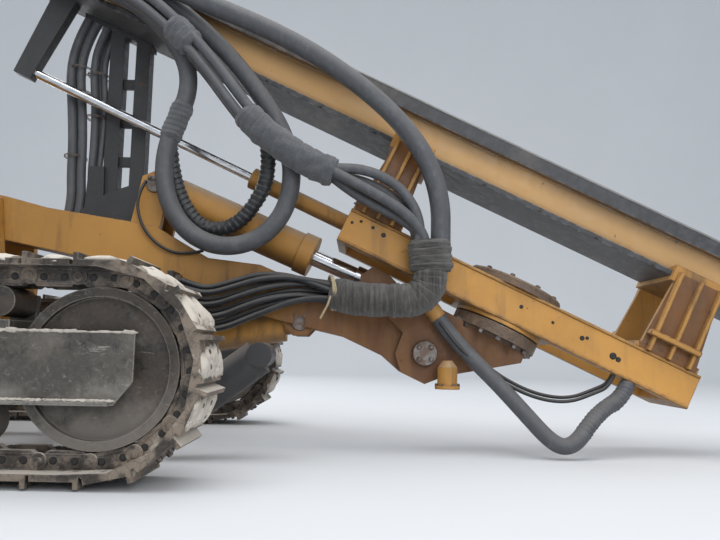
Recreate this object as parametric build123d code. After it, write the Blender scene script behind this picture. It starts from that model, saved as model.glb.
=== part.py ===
"""Crawler down-the-hole drilling rig: two tracks, a swinging and lifting boom, and a sliding mast.

Work frame, in millimetres: x runs forward from the front idlers' axle, y to the machine's left,
z up from the ground. The pieces from the turntable outward are drawn in the mast frame, whose
x runs down the mast to its foot, y to the left and z out of its front, and which lies on the slope
at which the mast is parked. What is written out is moved so that x = 0 is midway along the rig.
"""

import os
from math import atan2, cos, hypot, pi, radians, sin, tan

from build123d import *

# Fits between pieces
seat_gap = 0.3
pin_play = 0.05
side_play = 6.0

# Crawler
machine_width = 2250.0
shoe_width = 300.0
track_height = 730.0
axle_spacing = 1950.0
shoe_count = 37
grouser_height = 22.0
grouser_thickness = 16.0
shoe_thickness = 12.0
shoe_share_of_pitch = 0.93
link_height = 70.0
link_width = 30.0
link_spacing = 120.0
idler_width = 165.0
roller_radius = 80.0
roller_count = 5
carrier_radius = 50.0
frame_plate = 12.0
yoke_width = 214.0
yoke_top = 480.0
yoke_bottom = 250.0
yoke_reach = 121.0
beam_top = 515.0

# Chassis
chassis_half_width = 330.0
chassis_rear = -2450.0
chassis_front = -1330.0
chassis_bottom = 320.0
chassis_top = 640.0
cross_beam_height = 70.0
cross_beam_length = 180.0
front_cross_x = -550.0
rear_cross_x = -1800.0
deck_bottom = 800.0
deck_thickness = 60.0
deck_half_width = 900.0
deck_rear = -2760.0
deck_front = -1395.0
hood_front = -1560.0
hood_rear = -2740.0
hood_top = 1540.0
hood_half_width = 620.0
hood_sill_top = 1170.0
door_gap = 6.0
door_edge = 10.0
hinge_pin_radius = 6.0
sheet = 20.0

# Boom swing post
swing_x = -1080.0
swing_pin_radius = 50.0
post_lug_thickness = 50.0
post_lug_radius = 130.0
lower_lug_z = 420.0
upper_lug_z = 880.0
bracket_tube_radius = 95.0

# Boom
boom_width = 280.0
boom_tip_width = 150.0
lift_pin = (-930.0, 1040.0)
lift_pin_radius = 40.0
tilt_pin = (1130.0, 430.0)
tilt_pin_radius = 45.0
boom_foot_radius = 100.0
boom_tip_radius = 130.0
bracket_ear = 40.0
rest_x = -345.0
rest_y = 95.0
pad_depth = 30.0

# Hydraulic cylinders: barrel and rod radii
cylinder_pin_radius = 26.0
lift_barrel_pin = (560.0, 560.0)
lift_rod_pin = (-850.0, 335.0)
lift_barrel_radius = 75.0
lift_rod_radius = 42.0
lift_barrel_length = 860.0
lift_stroke = 507.0
pitch_barrel_pin = (-130.0, 1185.0)
pitch_barrel_radius = 90.0
pitch_rod_radius = 40.0
pitch_barrel_length = 800.0
pitch_stroke = 648.0
swing_barrel_pin = (-1950.0, 420.0)
swing_lug = (0.0, 260.0)
swing_cylinder_z = 722.0
swing_barrel_radius = 50.0
swing_rod_radius = 28.0
swing_barrel_length = 660.0
swing_bore = 265.0
swing_engaged = 150.0
slide_barrel_radius = 40.0
slide_rod_radius = 22.5

# Mast frame: its origin is where the turntable's axis meets the slide frame's underside
mast_slope = 25.0
turn_x = 1487.0
turn_z = 575.0
pitch_eye = (-607.0, -90.0)
frame_rear = -844.0
frame_front = 870.0
frame_height = 160.0
frame_half_width = 200.0
frame_rail = 50.0
turntable_radius = 225.0
turn_shaft_radius = 90.0
tilt_plate = 30.0
tilt_gap = 170.0

# Mast
mast_gap = 361.0
mast_height = 236.0
mast_width = 350.0
mast_foot = 1300.0
mast_length = 4700.0
mast_web_width = 280.0
top_rail_height = 65.0
bottom_rail_height = 24.0
channel_width = 180.0
channel_depth = 190.0
feed_axle_depth = 112.0
claw_thickness = 25.0
slide_axis = 115.0
slide_stroke = 1000.0

# Drill head
carriage_length = 620.0
carriage_rest = 230.0
feed_stroke = 3000.0
drill_axis_height = 215.0
spindle_radius = 55.0
pipe_hole_radius = 65.0
thread_radius = 38.0
thread_length = 90.0

# Hose fittings
clamp_x = (965.0, 1015.0)
lower_hose_diameter = 70.0
lower_hose_port = (1187.0, -158.0, 589.0)
lower_hose_fall = 54.0
rest_hose_diameter = 80.0
rest_hose_x = -520.0
cap_place = (1225.0, -190.0, 275.0)
cap_radius = 44.0
clamp_z = (795.0, 850.0)
hose_plate = -2350.0

# Driving sums of the above
track_y = (machine_width - shoe_width) / 2
axle_z = track_height / 2
shoe_inside = axle_z - grouser_height - shoe_thickness
idler_radius = shoe_inside - link_height - seat_gap
mast_bottom = frame_height + mast_gap
mast_top = mast_bottom + mast_height
mast_head = mast_foot - mast_length
tilt_width = tilt_gap + 2 * tilt_plate


def box(x, y, z):
    """A block between the low and high values of each direction."""
    size = [high - low for low, high in (x, y, z)]
    middle = [(low + high) / 2 for low, high in (x, y, z)]
    return Pos(*middle) * Box(*size)


def plate(points, y_middle, thickness):
    """An outline of (x, z) points, as thick as stated across y."""
    edge = [(x, y_middle - thickness / 2, z) for x, z in points]
    return extrude(make_face(Polyline(*edge, close=True)), amount=thickness, dir=(0, 1, 0))


def cross_disc(x, z, radius, y_middle, thickness):
    """A disc whose axis runs across the machine."""
    face = Plane((x, y_middle - thickness / 2, z), z_dir=(0, 1, 0)) * Circle(radius)
    return extrude(face, amount=thickness)


def bar(start, end, radius):
    """A round bar from one point to another."""
    along = Vector(*end) - Vector(*start)
    return extrude(Plane(start, z_dir=along) * Circle(radius), amount=along.length)


def mirrored(shape):
    return mirror(shape, about=Plane.XZ)


def on_mast(shape):
    """From the mast frame into the work frame."""
    return Location((turn_x, 0, turn_z), (0, mast_slope, 0)) * shape


def mast_point(x, z):
    """The work frame's (x, z) of a point of the mast frame."""
    a = radians(mast_slope)
    return turn_x + x * cos(a) + z * sin(a), turn_z - x * sin(a) + z * cos(a)


def in_mast_frame(x, z):
    """The mast frame's (x, z) of a point of the work frame."""
    a = radians(mast_slope)
    return (x - turn_x) * cos(a) - (z - turn_z) * sin(a), (x - turn_x) * sin(a) + (z - turn_z) * cos(a)


# Crawler


def track_path(distance):
    """The point and heading of the shoes' inner face, that far round the loop from the lower run's rear."""
    arc = pi * shoe_inside
    distance %= 2 * (axle_spacing + arc)
    if distance < axle_spacing:
        return -axle_spacing + distance, axle_z - shoe_inside, 0.0
    distance -= axle_spacing
    if distance < arc:
        turn = distance / shoe_inside
        return shoe_inside * sin(turn), axle_z - shoe_inside * cos(turn), turn
    distance -= arc
    if distance < axle_spacing:
        return -distance, axle_z + shoe_inside, pi
    turn = (distance - axle_spacing) / shoe_inside + pi
    return -axle_spacing + shoe_inside * sin(turn), axle_z - shoe_inside * cos(turn), turn


def beside_path(distance, along, outward):
    """A point of a flat shoe: its middle lies at that distance, and the point is along and outward from it."""
    x, z, turn = track_path(distance)
    return x + along * cos(turn) + outward * sin(turn), z + along * sin(turn) - outward * cos(turn)


def track_chain():
    """The closed chain: shoes with grousers outside, two rows of links inside."""
    pitch = 2 * (axle_spacing + pi * shoe_inside) / shoe_count
    half = pitch * shoe_share_of_pitch / 2
    valley = -6.0
    inner = -10.0
    # each corner of a shoe: along, outward
    shoe = (
        (-half, valley),
        (-half, shoe_thickness),
        (half - grouser_thickness, shoe_thickness),
        (half - grouser_thickness, shoe_thickness + grouser_height),
        (half, shoe_thickness + grouser_height),
        (half, valley),
    )
    link = ((-half * 0.72, -link_height), (half * 0.72, -link_height), (pitch / 2, -link_height * 0.72))
    middles = [pitch * (k + 0.5) for k in range(shoe_count)]
    outside = [beside_path(m, *corner) for m in middles for corner in shoe]
    ring = [beside_path(m, 0, inner) for m in middles]
    links = [beside_path(m, *corner) for m in middles for corner in link]
    root = [beside_path(m, 0, (valley + inner) / 2) for m in middles]
    shoes = plate(outside, 0, shoe_width) - plate(ring, 0, shoe_width + 2)
    whole = plate(root, 0, link_width) - plate(links, 0, link_width + 2)
    rows = [Pos(0, side * link_spacing / 2, 0) * whole for side in (-1, 1)]
    return Pos(0, -track_y, 0) * (shoes + rows[0] + rows[1])


def idler():
    """The front wheel: a rim with a deep dish each side, a hub and its axle."""
    wheel = cross_disc(0, axle_z, idler_radius, 0, idler_width)
    dish = cross_disc(0, axle_z, idler_radius - 32, 0, 50) - cross_disc(0, axle_z, 70, 0, 50)
    for side in (-1, 1):
        wheel -= Pos(0, side * idler_width / 2, 0) * dish
    wheel += cross_disc(0, axle_z, 32, 0, yoke_width - 2 * frame_plate - 2 * seat_gap)
    return Pos(0, -track_y, 0) * wheel


def sprocket():
    """The rear toothed wheel with its flanged drive motor on the outer side."""
    teeth = 15
    root_radius = idler_radius - 26
    outline = []
    for k in range(teeth):
        # each corner of a tooth: share of the tooth pitch, radius
        for share, radius in ((0.0, root_radius), (0.3, root_radius), (0.42, idler_radius), (0.58, idler_radius)):
            a = 2 * pi * (k + share) / teeth
            outline.append((-axle_spacing + radius * cos(a), axle_z + radius * sin(a)))
    wheel = plate(outline, 0, link_spacing - link_width - 10)
    inner = yoke_width / 2 + 8 - seat_gap
    for outer, radius in ((100, 150), (125, 105)):
        wheel += cross_disc(-axle_spacing, axle_z, radius, (inner - outer) / 2, inner + outer)
    return Pos(0, -track_y, 0) * wheel


def roller_places():
    first = -axle_spacing + 430
    step = (axle_spacing - 860) / (roller_count - 1)
    return [first + step * k for k in range(roller_count)]


def rollers():
    """The lower rollers on the links of the lower run, and the two that carry the upper run."""
    ride = axle_z - shoe_inside + link_height + seat_gap
    hang = axle_z + shoe_inside - link_height - seat_gap
    wheels = []
    for x in roller_places():
        wheel = cross_disc(x, ride + roller_radius, roller_radius, 0, idler_width)
        wheels.append(wheel + cross_disc(x, ride + roller_radius, 25, 0, yoke_width - 2 * frame_plate - 2 * seat_gap))
    for x in (-330.0, -axle_spacing + 330.0):
        wheels.append(cross_disc(x, hang - carrier_radius, carrier_radius, 0, idler_width))
    return Pos(0, -track_y, 0) * Compound(wheels)


def track_frame():
    """The side frame: an upper box, two side plates with a yoke about the idler, and the rear motor plate."""
    rear = -axle_spacing + idler_radius + 10
    side = (
        (rear, yoke_bottom),
        (yoke_reach - 60, yoke_bottom),
        (yoke_reach, yoke_bottom + 75),
        (yoke_reach, yoke_top),
        (-300, yoke_top),
        (rear, yoke_top),
    )
    half = yoke_width / 2 - frame_plate / 2
    frame = plate(side, -half, frame_plate) + plate(side, half, frame_plate)
    frame += box((rear, yoke_reach - 70), (-half - 30, -half), (yoke_bottom, yoke_bottom + 12))
    top = yoke_top - 60
    frame += box((rear, -idler_radius - 20), (-yoke_width / 2, yoke_width / 2), (top, beam_top))
    for x in (-330.0, -axle_spacing + 330.0):
        hang = axle_z + shoe_inside - link_height - seat_gap - carrier_radius
        frame += box((x - 45, x + 45), (idler_width / 2 + seat_gap, idler_width / 2 + 25), (beam_top - 40, hang + 30))
    inner = yoke_width / 2 + 8
    frame += box((-axle_spacing - 80, rear + 60), (inner, inner + 26), (250, 500))
    frame += box((rear, rear + 60), (inner - 20, inner + 26), (top, 500))
    axle = axle_z - shoe_inside + link_height + seat_gap + roller_radius
    for x in roller_places():
        for y in (-half, half):
            frame += plate(((x - 28, axle - 32), (x + 28, axle - 32), (x + 60, yoke_bottom + 1), (x - 60, yoke_bottom + 1)),
                           y, frame_plate)
    return Pos(0, -track_y, 0) * frame


# Chassis


def centre_frame():
    """The box between the tracks, its cross beams, and the tower with the two lugs of the swing pin."""
    rail = (chassis_half_width - 90, chassis_half_width)
    frame = box((chassis_rear, chassis_front), (-chassis_half_width, chassis_half_width), (chassis_bottom, chassis_top))
    reach = track_y - yoke_width / 2 - seat_gap
    rear_reach = track_y - yoke_width / 2 - 8 - 26 - seat_gap
    floor = chassis_bottom - cross_beam_height
    for x, out in ((front_cross_x, reach), (rear_cross_x, rear_reach)):
        frame += box((x - cross_beam_length / 2, x + cross_beam_length / 2), (-out, out), (floor, chassis_bottom))
    for s in (-1, 1):
        frame += box(
            (chassis_rear, front_cross_x), sorted((s * rail[0], s * rail[1])), (floor, chassis_bottom + 1)
        )
        frame += box((rear_cross_x - 120, rear_cross_x + 120), sorted((s * 300, s * rear_reach)), (floor, yoke_top - 40))
    tower_front = swing_x - 130
    frame += box((chassis_front - 1, tower_front), (-140, 140), (chassis_bottom, upper_lug_z + post_lug_thickness))
    for z in (lower_lug_z, upper_lug_z):
        lug = Pos(swing_x, 0, z + post_lug_thickness / 2) * Cylinder(post_lug_radius, post_lug_thickness)
        lug += box((tower_front - 10, swing_x), (-post_lug_radius, post_lug_radius), (z, z + post_lug_thickness))
        frame += lug - Pos(swing_x, 0, z) * Cylinder(swing_pin_radius + pin_play, 4 * post_lug_thickness)
    return frame


def swing_cylinder_seat():
    """The bracket on the centre frame's left side that holds the swing cylinder's barrel pin."""
    x, y = swing_barrel_pin
    z = swing_cylinder_z
    block = box((x - 60, x + 50), (chassis_half_width + seat_gap, y + 55), (chassis_top - 90, z - 35))
    return block + Pos(x, y, z - 2) * Cylinder(25 - pin_play, 72)


def swing_bracket():
    """The swinging post: a tube round the pin, ears for the boom's foot and for the lift cylinder."""
    low = lower_lug_z + post_lug_thickness + 5
    high = upper_lug_z - 5
    post = Pos(swing_x, 0, (low + high) / 2) * Cylinder(bracket_tube_radius, high - low)
    pin_low = lower_lug_z - 20
    pin_high = upper_lug_z + post_lug_thickness + 20
    post += Pos(swing_x, 0, (pin_low + pin_high) / 2) * Cylinder(swing_pin_radius, pin_high - pin_low)
    px, pz = lift_pin
    bx, bz = lift_rod_pin
    ear_y = boom_width / 2 + 5 + bracket_ear / 2
    outline = (
        (swing_x + 20, low),
        (bx - 40, low),
        (bx + 60, low),
        (px + 150, 760),
        (px + 110, pz + 60),
        (px + 40, pz + 110),
        (px - 60, pz + 100),
        (px - 110, pz + 10),
        (swing_x + 20 + post_lug_radius, high),
        (swing_x + 20, high),
    )
    for s in (-1, 1):
        post += plate(outline, s * ear_y, bracket_ear)
        # lower ears reach below the lower lug, in front of it
        lower = (
            (swing_x + post_lug_radius + 15, bz - 20),
            (bx - 10, bz - 65),
            (bx + 50, bz - 40),
            (bx + 62, bz + 20),
            (bx + 60, low + 40),
            (swing_x + post_lug_radius + 15, low + 40),
        )
        post += plate(lower, s * 75, 30)
    post += box((swing_x + 20, bx + 40), (-ear_y, ear_y), (low, low + 60))
    web_top = 820
    post += box((swing_x + 40, px - 10), (-ear_y, ear_y), (low, web_top))
    post += cross_disc(px, pz, lift_pin_radius - pin_play, 0, 2 * ear_y + bracket_ear + 30)
    # lug of the swing cylinder
    lx, ly = swing_x + swing_lug[0], swing_lug[1]
    for z in (swing_cylinder_z - 55, swing_cylinder_z + 30):
        post += box((lx - 40, lx + 40), (0, ly), (z, z + 25)) + Pos(lx, ly, z + 12.5) * Cylinder(45, 25)
    return post


# Boom

boom_outline = (
    (lift_pin[0] - 20, lift_pin[1] + boom_foot_radius),
    (-803, 1112),
    (-612, 1063),
    (-222, 1005),
    (-109, 984),
    (136, 844),
    (376, 817),
    (739, 665),
    (1050, 600),
    (tilt_pin[0] + 60, 545),
    (tilt_pin[0] + 126, 460),
    (tilt_pin[0] + 110, 360),
    (tilt_pin[0] + 40, 306),
    (1020, 345),
    (939, 415),
    (753, 500),
    (649, 523),
    (177, 636),
    (-150, 770),
    (-500, 850),
    (lift_pin[0] - 20, lift_pin[1] - boom_foot_radius),
    (lift_pin[0] - 70, lift_pin[1] - 70),
    (lift_pin[0] - boom_foot_radius, lift_pin[1]),
    (lift_pin[0] - 70, lift_pin[1] + 70),
)


def boom():
    """The gooseneck box, narrowed at its tip to go between the tilt head's plates."""
    beam = plate(boom_outline, 0, boom_width)
    wide = boom_width / 2 + 1
    narrow = boom_tip_width / 2
    for s in (-1, 1):
        corners = [(780, s * wide), (930, s * narrow), (1400, s * narrow), (1400, s * wide * 2), (780, s * wide * 2)]
        wedge = extrude(make_face(Polyline(*[(x, y, 200) for x, y in corners], close=True)), amount=700, dir=(0, 0, 1))
        beam -= wedge
    beam -= cross_disc(*lift_pin, lift_pin_radius, 0, boom_width + 10)
    beam -= cross_disc(*tilt_pin, tilt_pin_radius, 0, boom_width + 10)
    # ears of the pitch cylinder, with the gusset under them
    x, z = pitch_barrel_pin
    ear = ((x - 105, 995), (x + 30, 960), (x + 62, z - 40), (x + 55, z + 40), (x, z + 66), (x - 60, z + 40))
    for s in (-1, 1):
        beam += plate(ear, s * 110, 30)
    beam -= cross_disc(x, z, cylinder_pin_radius, 0, boom_width + 10)
    # ears of the lift cylinder, below
    x, z = lift_barrel_pin
    ear = ((x - 110, 600), (x - 60, z - 30), (x - 30, z - 62), (x + 30, z - 62), (x + 60, z - 30), (x + 90, 590))
    recess = box((x - 400, x + 95), (-86, 86), (z - 300, z + 90))
    beam -= recess
    for s in (-1, 1):
        beam += plate(ear, s * 101, 30)
    beam -= cross_disc(x, z, cylinder_pin_radius, 0, boom_width + 10)
    return beam


def boom_top(x):
    """The height of the boom's upper face at x, for the faces between its foot and its tip."""
    top = sorted(p for p in boom_outline[:10])
    for (x0, z0), (x1, z1) in zip(top, top[1:]):
        if x0 <= x <= x1:
            return z0 + (z1 - z0) * (x - x0) / (x1 - x0) + seat_gap
    return top[-1][1]


def mast_rest():
    """The slotted post that the parked mast lies on: two channels on a foot with gussets."""
    x0, x1, y = rest_x - 100, rest_x + 100, rest_y
    post = None
    for low, high in ((x0, x0 + 70), (x1 - 70, x1)):
        bottom = ((low, boom_top(low)), (high, boom_top(high)))
        top = ((high, mast_line(high, mast_bottom - 26)), (low, mast_line(low, mast_bottom - 26)))
        channel = plate((*bottom, *top), y, 70)
        post = channel if post is None else post + channel
    ends = (rest_hose_x - 60, x1 + 10)
    pad = [(x, mast_line(x, mast_bottom - pad_depth)) for x in ends]
    pad += [(x, mast_line(x, mast_bottom - 6)) for x in ends[::-1]]
    post += plate(pad, y, 80)
    for z in (1120, 1320, 1520, 1720):
        post += box((x0, x1), (y - 10, y + 10), (z, z + 50))
    gusset = [(x, boom_top(x)) for x in (x0 - 90, -222, x1 + 110)] + [(x1 + 110, 1050), (x1 + 10, 1240), (x0 + 40, 1180), (x0 - 90, 1090)]
    post += plate(gusset, y - 45, 20)
    low, high = x0 - 75, x0 + 20
    return post + plate(((low, boom_top(low)), (high, boom_top(high)), (high - 8, 1310), (low + 12, 1310)), y - 45, 20)


def mast_line(x, height):
    """The work frame's z at x of the line at that height in the mast frame."""
    a = radians(mast_slope)
    px, pz = mast_point(0, height)
    return pz - (x - px) * sin(a) / cos(a)


# Hydraulic cylinders


def cylinder_pair(barrel_pin, rod_pin, barrel_radius, rod_radius, barrel_length, stroke, eye_width, eye_radius):
    """The barrel and the rod between two pins of the x-z plane, each with its eye."""
    (x0, z0), (x1, z1) = barrel_pin, rod_pin
    length = hypot(x1 - x0, z1 - z0)
    ux, uz = (x1 - x0) / length, (z1 - z0) / length
    engaged = stroke + 50

    def at(distance):
        return (x0 + ux * distance, 0, z0 + uz * distance)

    barrel = bar(at(eye_radius * 0.7), at(eye_radius * 1.5), barrel_radius * 0.62)
    barrel += bar(at(eye_radius * 1.45), at(barrel_length), barrel_radius)
    barrel += bar(at(barrel_length - 70), at(barrel_length), barrel_radius * 1.1)
    barrel += cross_disc(x0, z0, eye_radius, 0, eye_width)
    barrel -= bar(at(barrel_length - engaged - 5), at(barrel_length + 10), rod_radius + pin_play)
    barrel += cross_disc(x0, z0, cylinder_pin_radius - pin_play, 0, eye_width + 90)
    rod = bar(at(barrel_length - engaged), at(length - eye_radius * 0.7), rod_radius)
    rod += bar(at(length - eye_radius * 1.7), at(length - eye_radius * 0.6), rod_radius * 1.3)
    rod += cross_disc(x1, z1, eye_radius, 0, eye_width)
    return barrel, rod


def swing_cylinder():
    """The level cylinder that swings the boom."""
    x0, y0 = swing_barrel_pin
    x1, y1 = swing_x + swing_lug[0], swing_lug[1]
    z = swing_cylinder_z
    length = hypot(x1 - x0, y1 - y0)
    ux, uy = (x1 - x0) / length, (y1 - y0) / length

    def at(distance):
        return (x0 + ux * distance, y0 + uy * distance, z)

    barrel = bar(at(60), at(swing_barrel_length), swing_barrel_radius) + bar(at(20), at(70), 32)
    barrel = barrel + Pos(x0, y0, z) * Cylinder(46, 60) - Pos(x0, y0, z) * Cylinder(25, 200)
    barrel -= bar(at(swing_barrel_length - swing_bore), at(swing_barrel_length + 10), swing_rod_radius + pin_play)
    rod = bar(at(swing_barrel_length - swing_engaged), at(length - 20), swing_rod_radius)
    rod += Pos(x1, y1, z) * Cylinder(42, 44)
    return barrel, rod


# Tilt head and slide frame


def hose_plate_boom():
    """The plate on the boom's right side where the hoses to the mast begin."""
    return box((-14, 10), (-262, -boom_width / 2 - seat_gap), (500, 770))


def hose_clamp_tilt():
    """The clamp that holds the hoses on the tilt head's right plate."""
    low, high = clamp_x
    ring = bar((low, -266, 657), (high, -266, 657), 64)
    return ring + box((low + 5, high - 5), (-240, -tilt_width / 2 - seat_gap), (632, 682))


def hose_clamp_frame():
    """The clamp on the slide frame's right rail, out of which the hoses rise to the mast."""
    low, high = clamp_z
    ring = extrude(Plane((1142, -266, low)) * SlotOverall(178, 124), amount=high - low)
    return ring + box((1115, 1170), (-230, -frame_half_width - seat_gap), (low + 8, high - 8))


def hose_plate_mast():
    """The plate on the mast's right side where the hoses from the slide frame end."""
    return on_mast(box((hose_plate - 12, hose_plate + 12), (-360, -mast_width / 2 - seat_gap),
                       (mast_bottom + 10, mast_top - 10)))


def tilt_head():
    """Two plates from the tilt pin to the turntable's seat, with an arm back to the pitch cylinder's eye."""
    tx, tz = in_mast_frame(*tilt_pin)
    ex, ez = pitch_eye
    outline = (
        (tx - 120, tz - 60),
        (tx - 60, tz - 125),
        (tx + 60, tz - 125),
        (tx + 130, tz - 50),
        (150, -130),
        (150, -70),
        (-190, -70),
        (ex + 120, ez + 30),
        (ex + 40, ez + 62),
        (ex - 40, ez + 58),
        (ex - 72, ez),
        (ex - 50, ez - 55),
        (tx - 130, tz + 40),
    )
    head = plate(outline, -(tilt_gap + tilt_plate) / 2, tilt_plate) + plate(
        outline, (tilt_gap + tilt_plate) / 2, tilt_plate
    )
    head += box((-200, 170), (-tilt_width / 2, tilt_width / 2), (-90, -62))
    head += box((0, 150), (-tilt_width / 2, tilt_width / 2), (-130, -80))
    head += Pos(0, 0, -47) * Cylinder(turntable_radius - 20, 50)
    head -= Pos(0, 0, -60) * Cylinder(turn_shaft_radius + pin_play, 120)
    head += cross_disc(tx, tz, tilt_pin_radius - pin_play, 0, tilt_width + 60)
    return on_mast(head) + hose_port() + swing_cap()


def hose_port():
    """The stub on the tilt head's right plate out of which the lower hose falls."""
    x, y, z = lower_hose_port
    a = radians(lower_hose_fall)
    back = 62
    stub = bar((x - back * cos(a), y, z + back * sin(a)), lower_hose_port, lower_hose_diameter / 2 + 3)
    return stub + box((x - 55, x - 15), (y, 1 - tilt_width / 2), (z + 12, z + 58))


def swing_cap():
    """The flanged, domed cap on its bracket at the tilt head's right side."""
    x, y, z = cap_place
    cap = Pos(x, y, z + 8) * Cylinder(cap_radius + 11, 16)
    cap += Pos(x, y, z + 55) * Cylinder(cap_radius, 80)
    cap += Pos(x, y, z + 110) * Cone(cap_radius, cap_radius / 2, 30)
    return cap + box((x - 35, x + 20), (y, 1 - tilt_width / 2), (z + 40, z + 90))


def slide_frame():
    """Two rails joined by cross plates, with the turntable's shaft below and its cover disc above."""
    rail = frame_half_width - frame_rail
    frame = box((frame_rear, frame_front), (rail, frame_half_width), (0, frame_height))
    frame += box((frame_rear, frame_front), (-frame_half_width, -rail), (0, frame_height))
    for x, reach in ((frame_rear + 20, 20), (frame_front - 40, 40)):
        frame += box((x - reach, x + reach), (-rail - 1, rail + 1), (0, 50))
    frame += box((-turntable_radius, turntable_radius), (-rail - 1, rail + 1), (0, 50))
    frame += Pos(0, 0, (frame_height + 50) / 2) * Cylinder(80, frame_height - 50 + 2)
    frame += Pos(0, 0, frame_height + 17) * Cylinder(turntable_radius, 34)
    frame += Pos(0, 0, -(60 - 8)) * Cylinder(turn_shaft_radius, 120 - 16)
    frame += Pos(0, 0, -8) * Cylinder(turntable_radius - 20, 16)
    return on_mast(frame)


def guide_bracket(x0, x1):
    """A ribbed bracket on the slide frame whose claws hold the mast's lower rails."""
    middle = (x0 + x1) / 2
    low = frame_height + seat_gap
    high = mast_bottom - seat_gap
    claw_in = mast_web_width / 2 + 4
    claw_out = mast_width / 2 + seat_gap
    wall = claw_out + claw_thickness
    body = box((x0, x1), (-frame_half_width, frame_half_width), (low, low + 25))
    body += box((x0 + 20, x1 - 20), (-wall, wall), (high - 25, high))
    for s in (-1, 1):
        side = ((x0 + 10, low), (x1 - 10, low), (x1 - 40, high - 10), (x0 + 40, high - 10))
        body += plate(side, s * (wall - claw_thickness / 2), claw_thickness)
        body += box((x0 + 20, x1 - 20), sorted((s * claw_out, s * wall)), (high - 25, mast_bottom + 50))
        hook = mast_bottom + bottom_rail_height + seat_gap
        body += box((x0 + 20, x1 - 20), sorted((s * claw_in, s * wall)), (hook, hook + 22))
        for x in (x0 + 50, middle, x1 - 50):
            body += box((x - 8, x + 8), sorted((s * (wall - 2), s * (wall + 26))), (low, high + 20))
    return on_mast(body)


def slide_cylinder():
    """The cylinder that slides the mast: the barrel stays in the slide frame, the rod goes to the mast."""
    gland = -1361.0
    barrel = bar((gland, 0, slide_axis), (-120, 0, slide_axis), slide_barrel_radius)
    barrel += bar((gland, 0, slide_axis), (gland + 70, 0, slide_axis), slide_barrel_radius + 12)
    barrel -= bar((gland - 10, 0, slide_axis), (-140, 0, slide_axis), slide_rod_radius + pin_play)
    barrel += box((frame_rear + 5, frame_rear + 35), (-60, 60), (50 + seat_gap, slide_axis - 30))
    barrel += box((-135, -100), (-30, 30), (50 + seat_gap, slide_axis))
    end = -2600.0
    rod = bar((end, 0, slide_axis), (-160 - slide_stroke - 40, 0, slide_axis), slide_rod_radius)
    lug = ((end - 45, slide_axis - 40), (end + 45, slide_axis - 40), (end + 60, mast_bottom - seat_gap),
           (end - 60, mast_bottom - seat_gap))
    rod += plate(lug, 0, 60)
    return on_mast(barrel), on_mast(rod)


# Mast


def mast():
    """The long beam: a wide rail above, a narrow one below, a set-back web and a channel for the chain."""
    wide, web, inner = mast_width / 2, mast_web_width / 2, channel_width / 2
    lower = mast_bottom + bottom_rail_height
    upper = mast_top - top_rail_height
    floor = mast_top - channel_depth
    section = (
        (-wide, mast_bottom), (wide, mast_bottom), (wide, lower), (web, lower), (web, upper), (wide, upper),
        (wide, mast_top), (inner, mast_top), (inner, floor), (-inner, floor), (-inner, mast_top),
        (-wide, mast_top), (-wide, upper), (-web, upper), (-web, lower), (-wide, lower),
    )
    edge = [(mast_head, y, z) for y, z in section]
    beam = extrude(make_face(Polyline(*edge, close=True)), amount=mast_length, dir=(1, 0, 0))
    return on_mast(beam)


def mast_table():
    """The foot: a cross plate with the hole that guides the drill string, on ribs, and a ground plate."""
    axis = mast_top + drill_axis_height
    x0 = mast_foot - 60
    body = box((x0, mast_foot - 20), (-200, 200), (mast_top + seat_gap, axis + 130))
    body -= bar((x0 - 10, 0, axis), (mast_foot + 10, 0, axis), pipe_hole_radius)
    for s in (-1, 1):
        rib = plate(
            ((x0 - 200, mast_top + seat_gap), (x0 + 1, mast_top + seat_gap), (x0 + 1, axis + 60)), s * 150, 20
        )
        body += rib
    return on_mast(body)


def mast_foot_plate():
    body = box((mast_foot + seat_gap, mast_foot + 30), (-210, 210), (mast_bottom - 40, mast_top + 40))
    for s in (-1, 1):
        body += box((mast_foot + 29, mast_foot + 70), sorted((s * 120, s * 190)), (mast_bottom + 20, mast_top - 20))
    return on_mast(body)


def feed_chain():
    """The feed chain in the mast's channel, from the drive sprocket to the return wheel."""
    z = mast_top - feed_axle_depth
    run = z + 60
    chain = box((mast_head + 130, mast_foot - 160), (-20, 20), (run - 12, run + 12))
    for x in (mast_head + 130, mast_foot - 160):
        chain += cross_disc(x, z, 52, 0, 30)
        chain += cross_disc(x, z, 18, 0, channel_width - 2 * seat_gap)
    return on_mast(chain)


def feed_motor():
    """The hydraulic motor on the side of the mast's head."""
    x = mast_head + 130
    z = mast_top - feed_axle_depth
    inner = mast_web_width / 2 + seat_gap
    body = cross_disc(x, z, 42, inner + 25, 50)
    body += cross_disc(x, z, 68, inner + 70, 60) + cross_disc(x, z, 45, inner + 135, 100)
    return on_mast(body)


# Drill head


def carriage():
    """The sledge that rides on the mast's upper rails and carries the rotary head."""
    x0 = mast_head + carriage_rest
    x1 = x0 + carriage_length
    low = mast_top + seat_gap
    wall = mast_width / 2 + seat_gap
    under = mast_top - top_rail_height - seat_gap
    web = mast_web_width / 2 + 4
    body = box((x0, x1), (-wall - 25, wall + 25), (low, low + 40))
    for s in (-1, 1):
        for a, b in ((x0, x0 + 160), (x1 - 160, x1)):
            body += box((a, b), sorted((s * wall, s * (wall + 25))), (under - 22, low + 1))
            body += box((a, b), sorted((s * web, s * (wall + 25))), (under - 22, under))
    axis = mast_top + drill_axis_height
    body += box((x0 + 150, x1 - 60), (-150, 150), (low + 39, axis + 120))
    body -= bar((x0 + 100, 0, axis), (x1 + 10, 0, axis), spindle_radius + pin_play)
    return on_mast(body)


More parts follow.
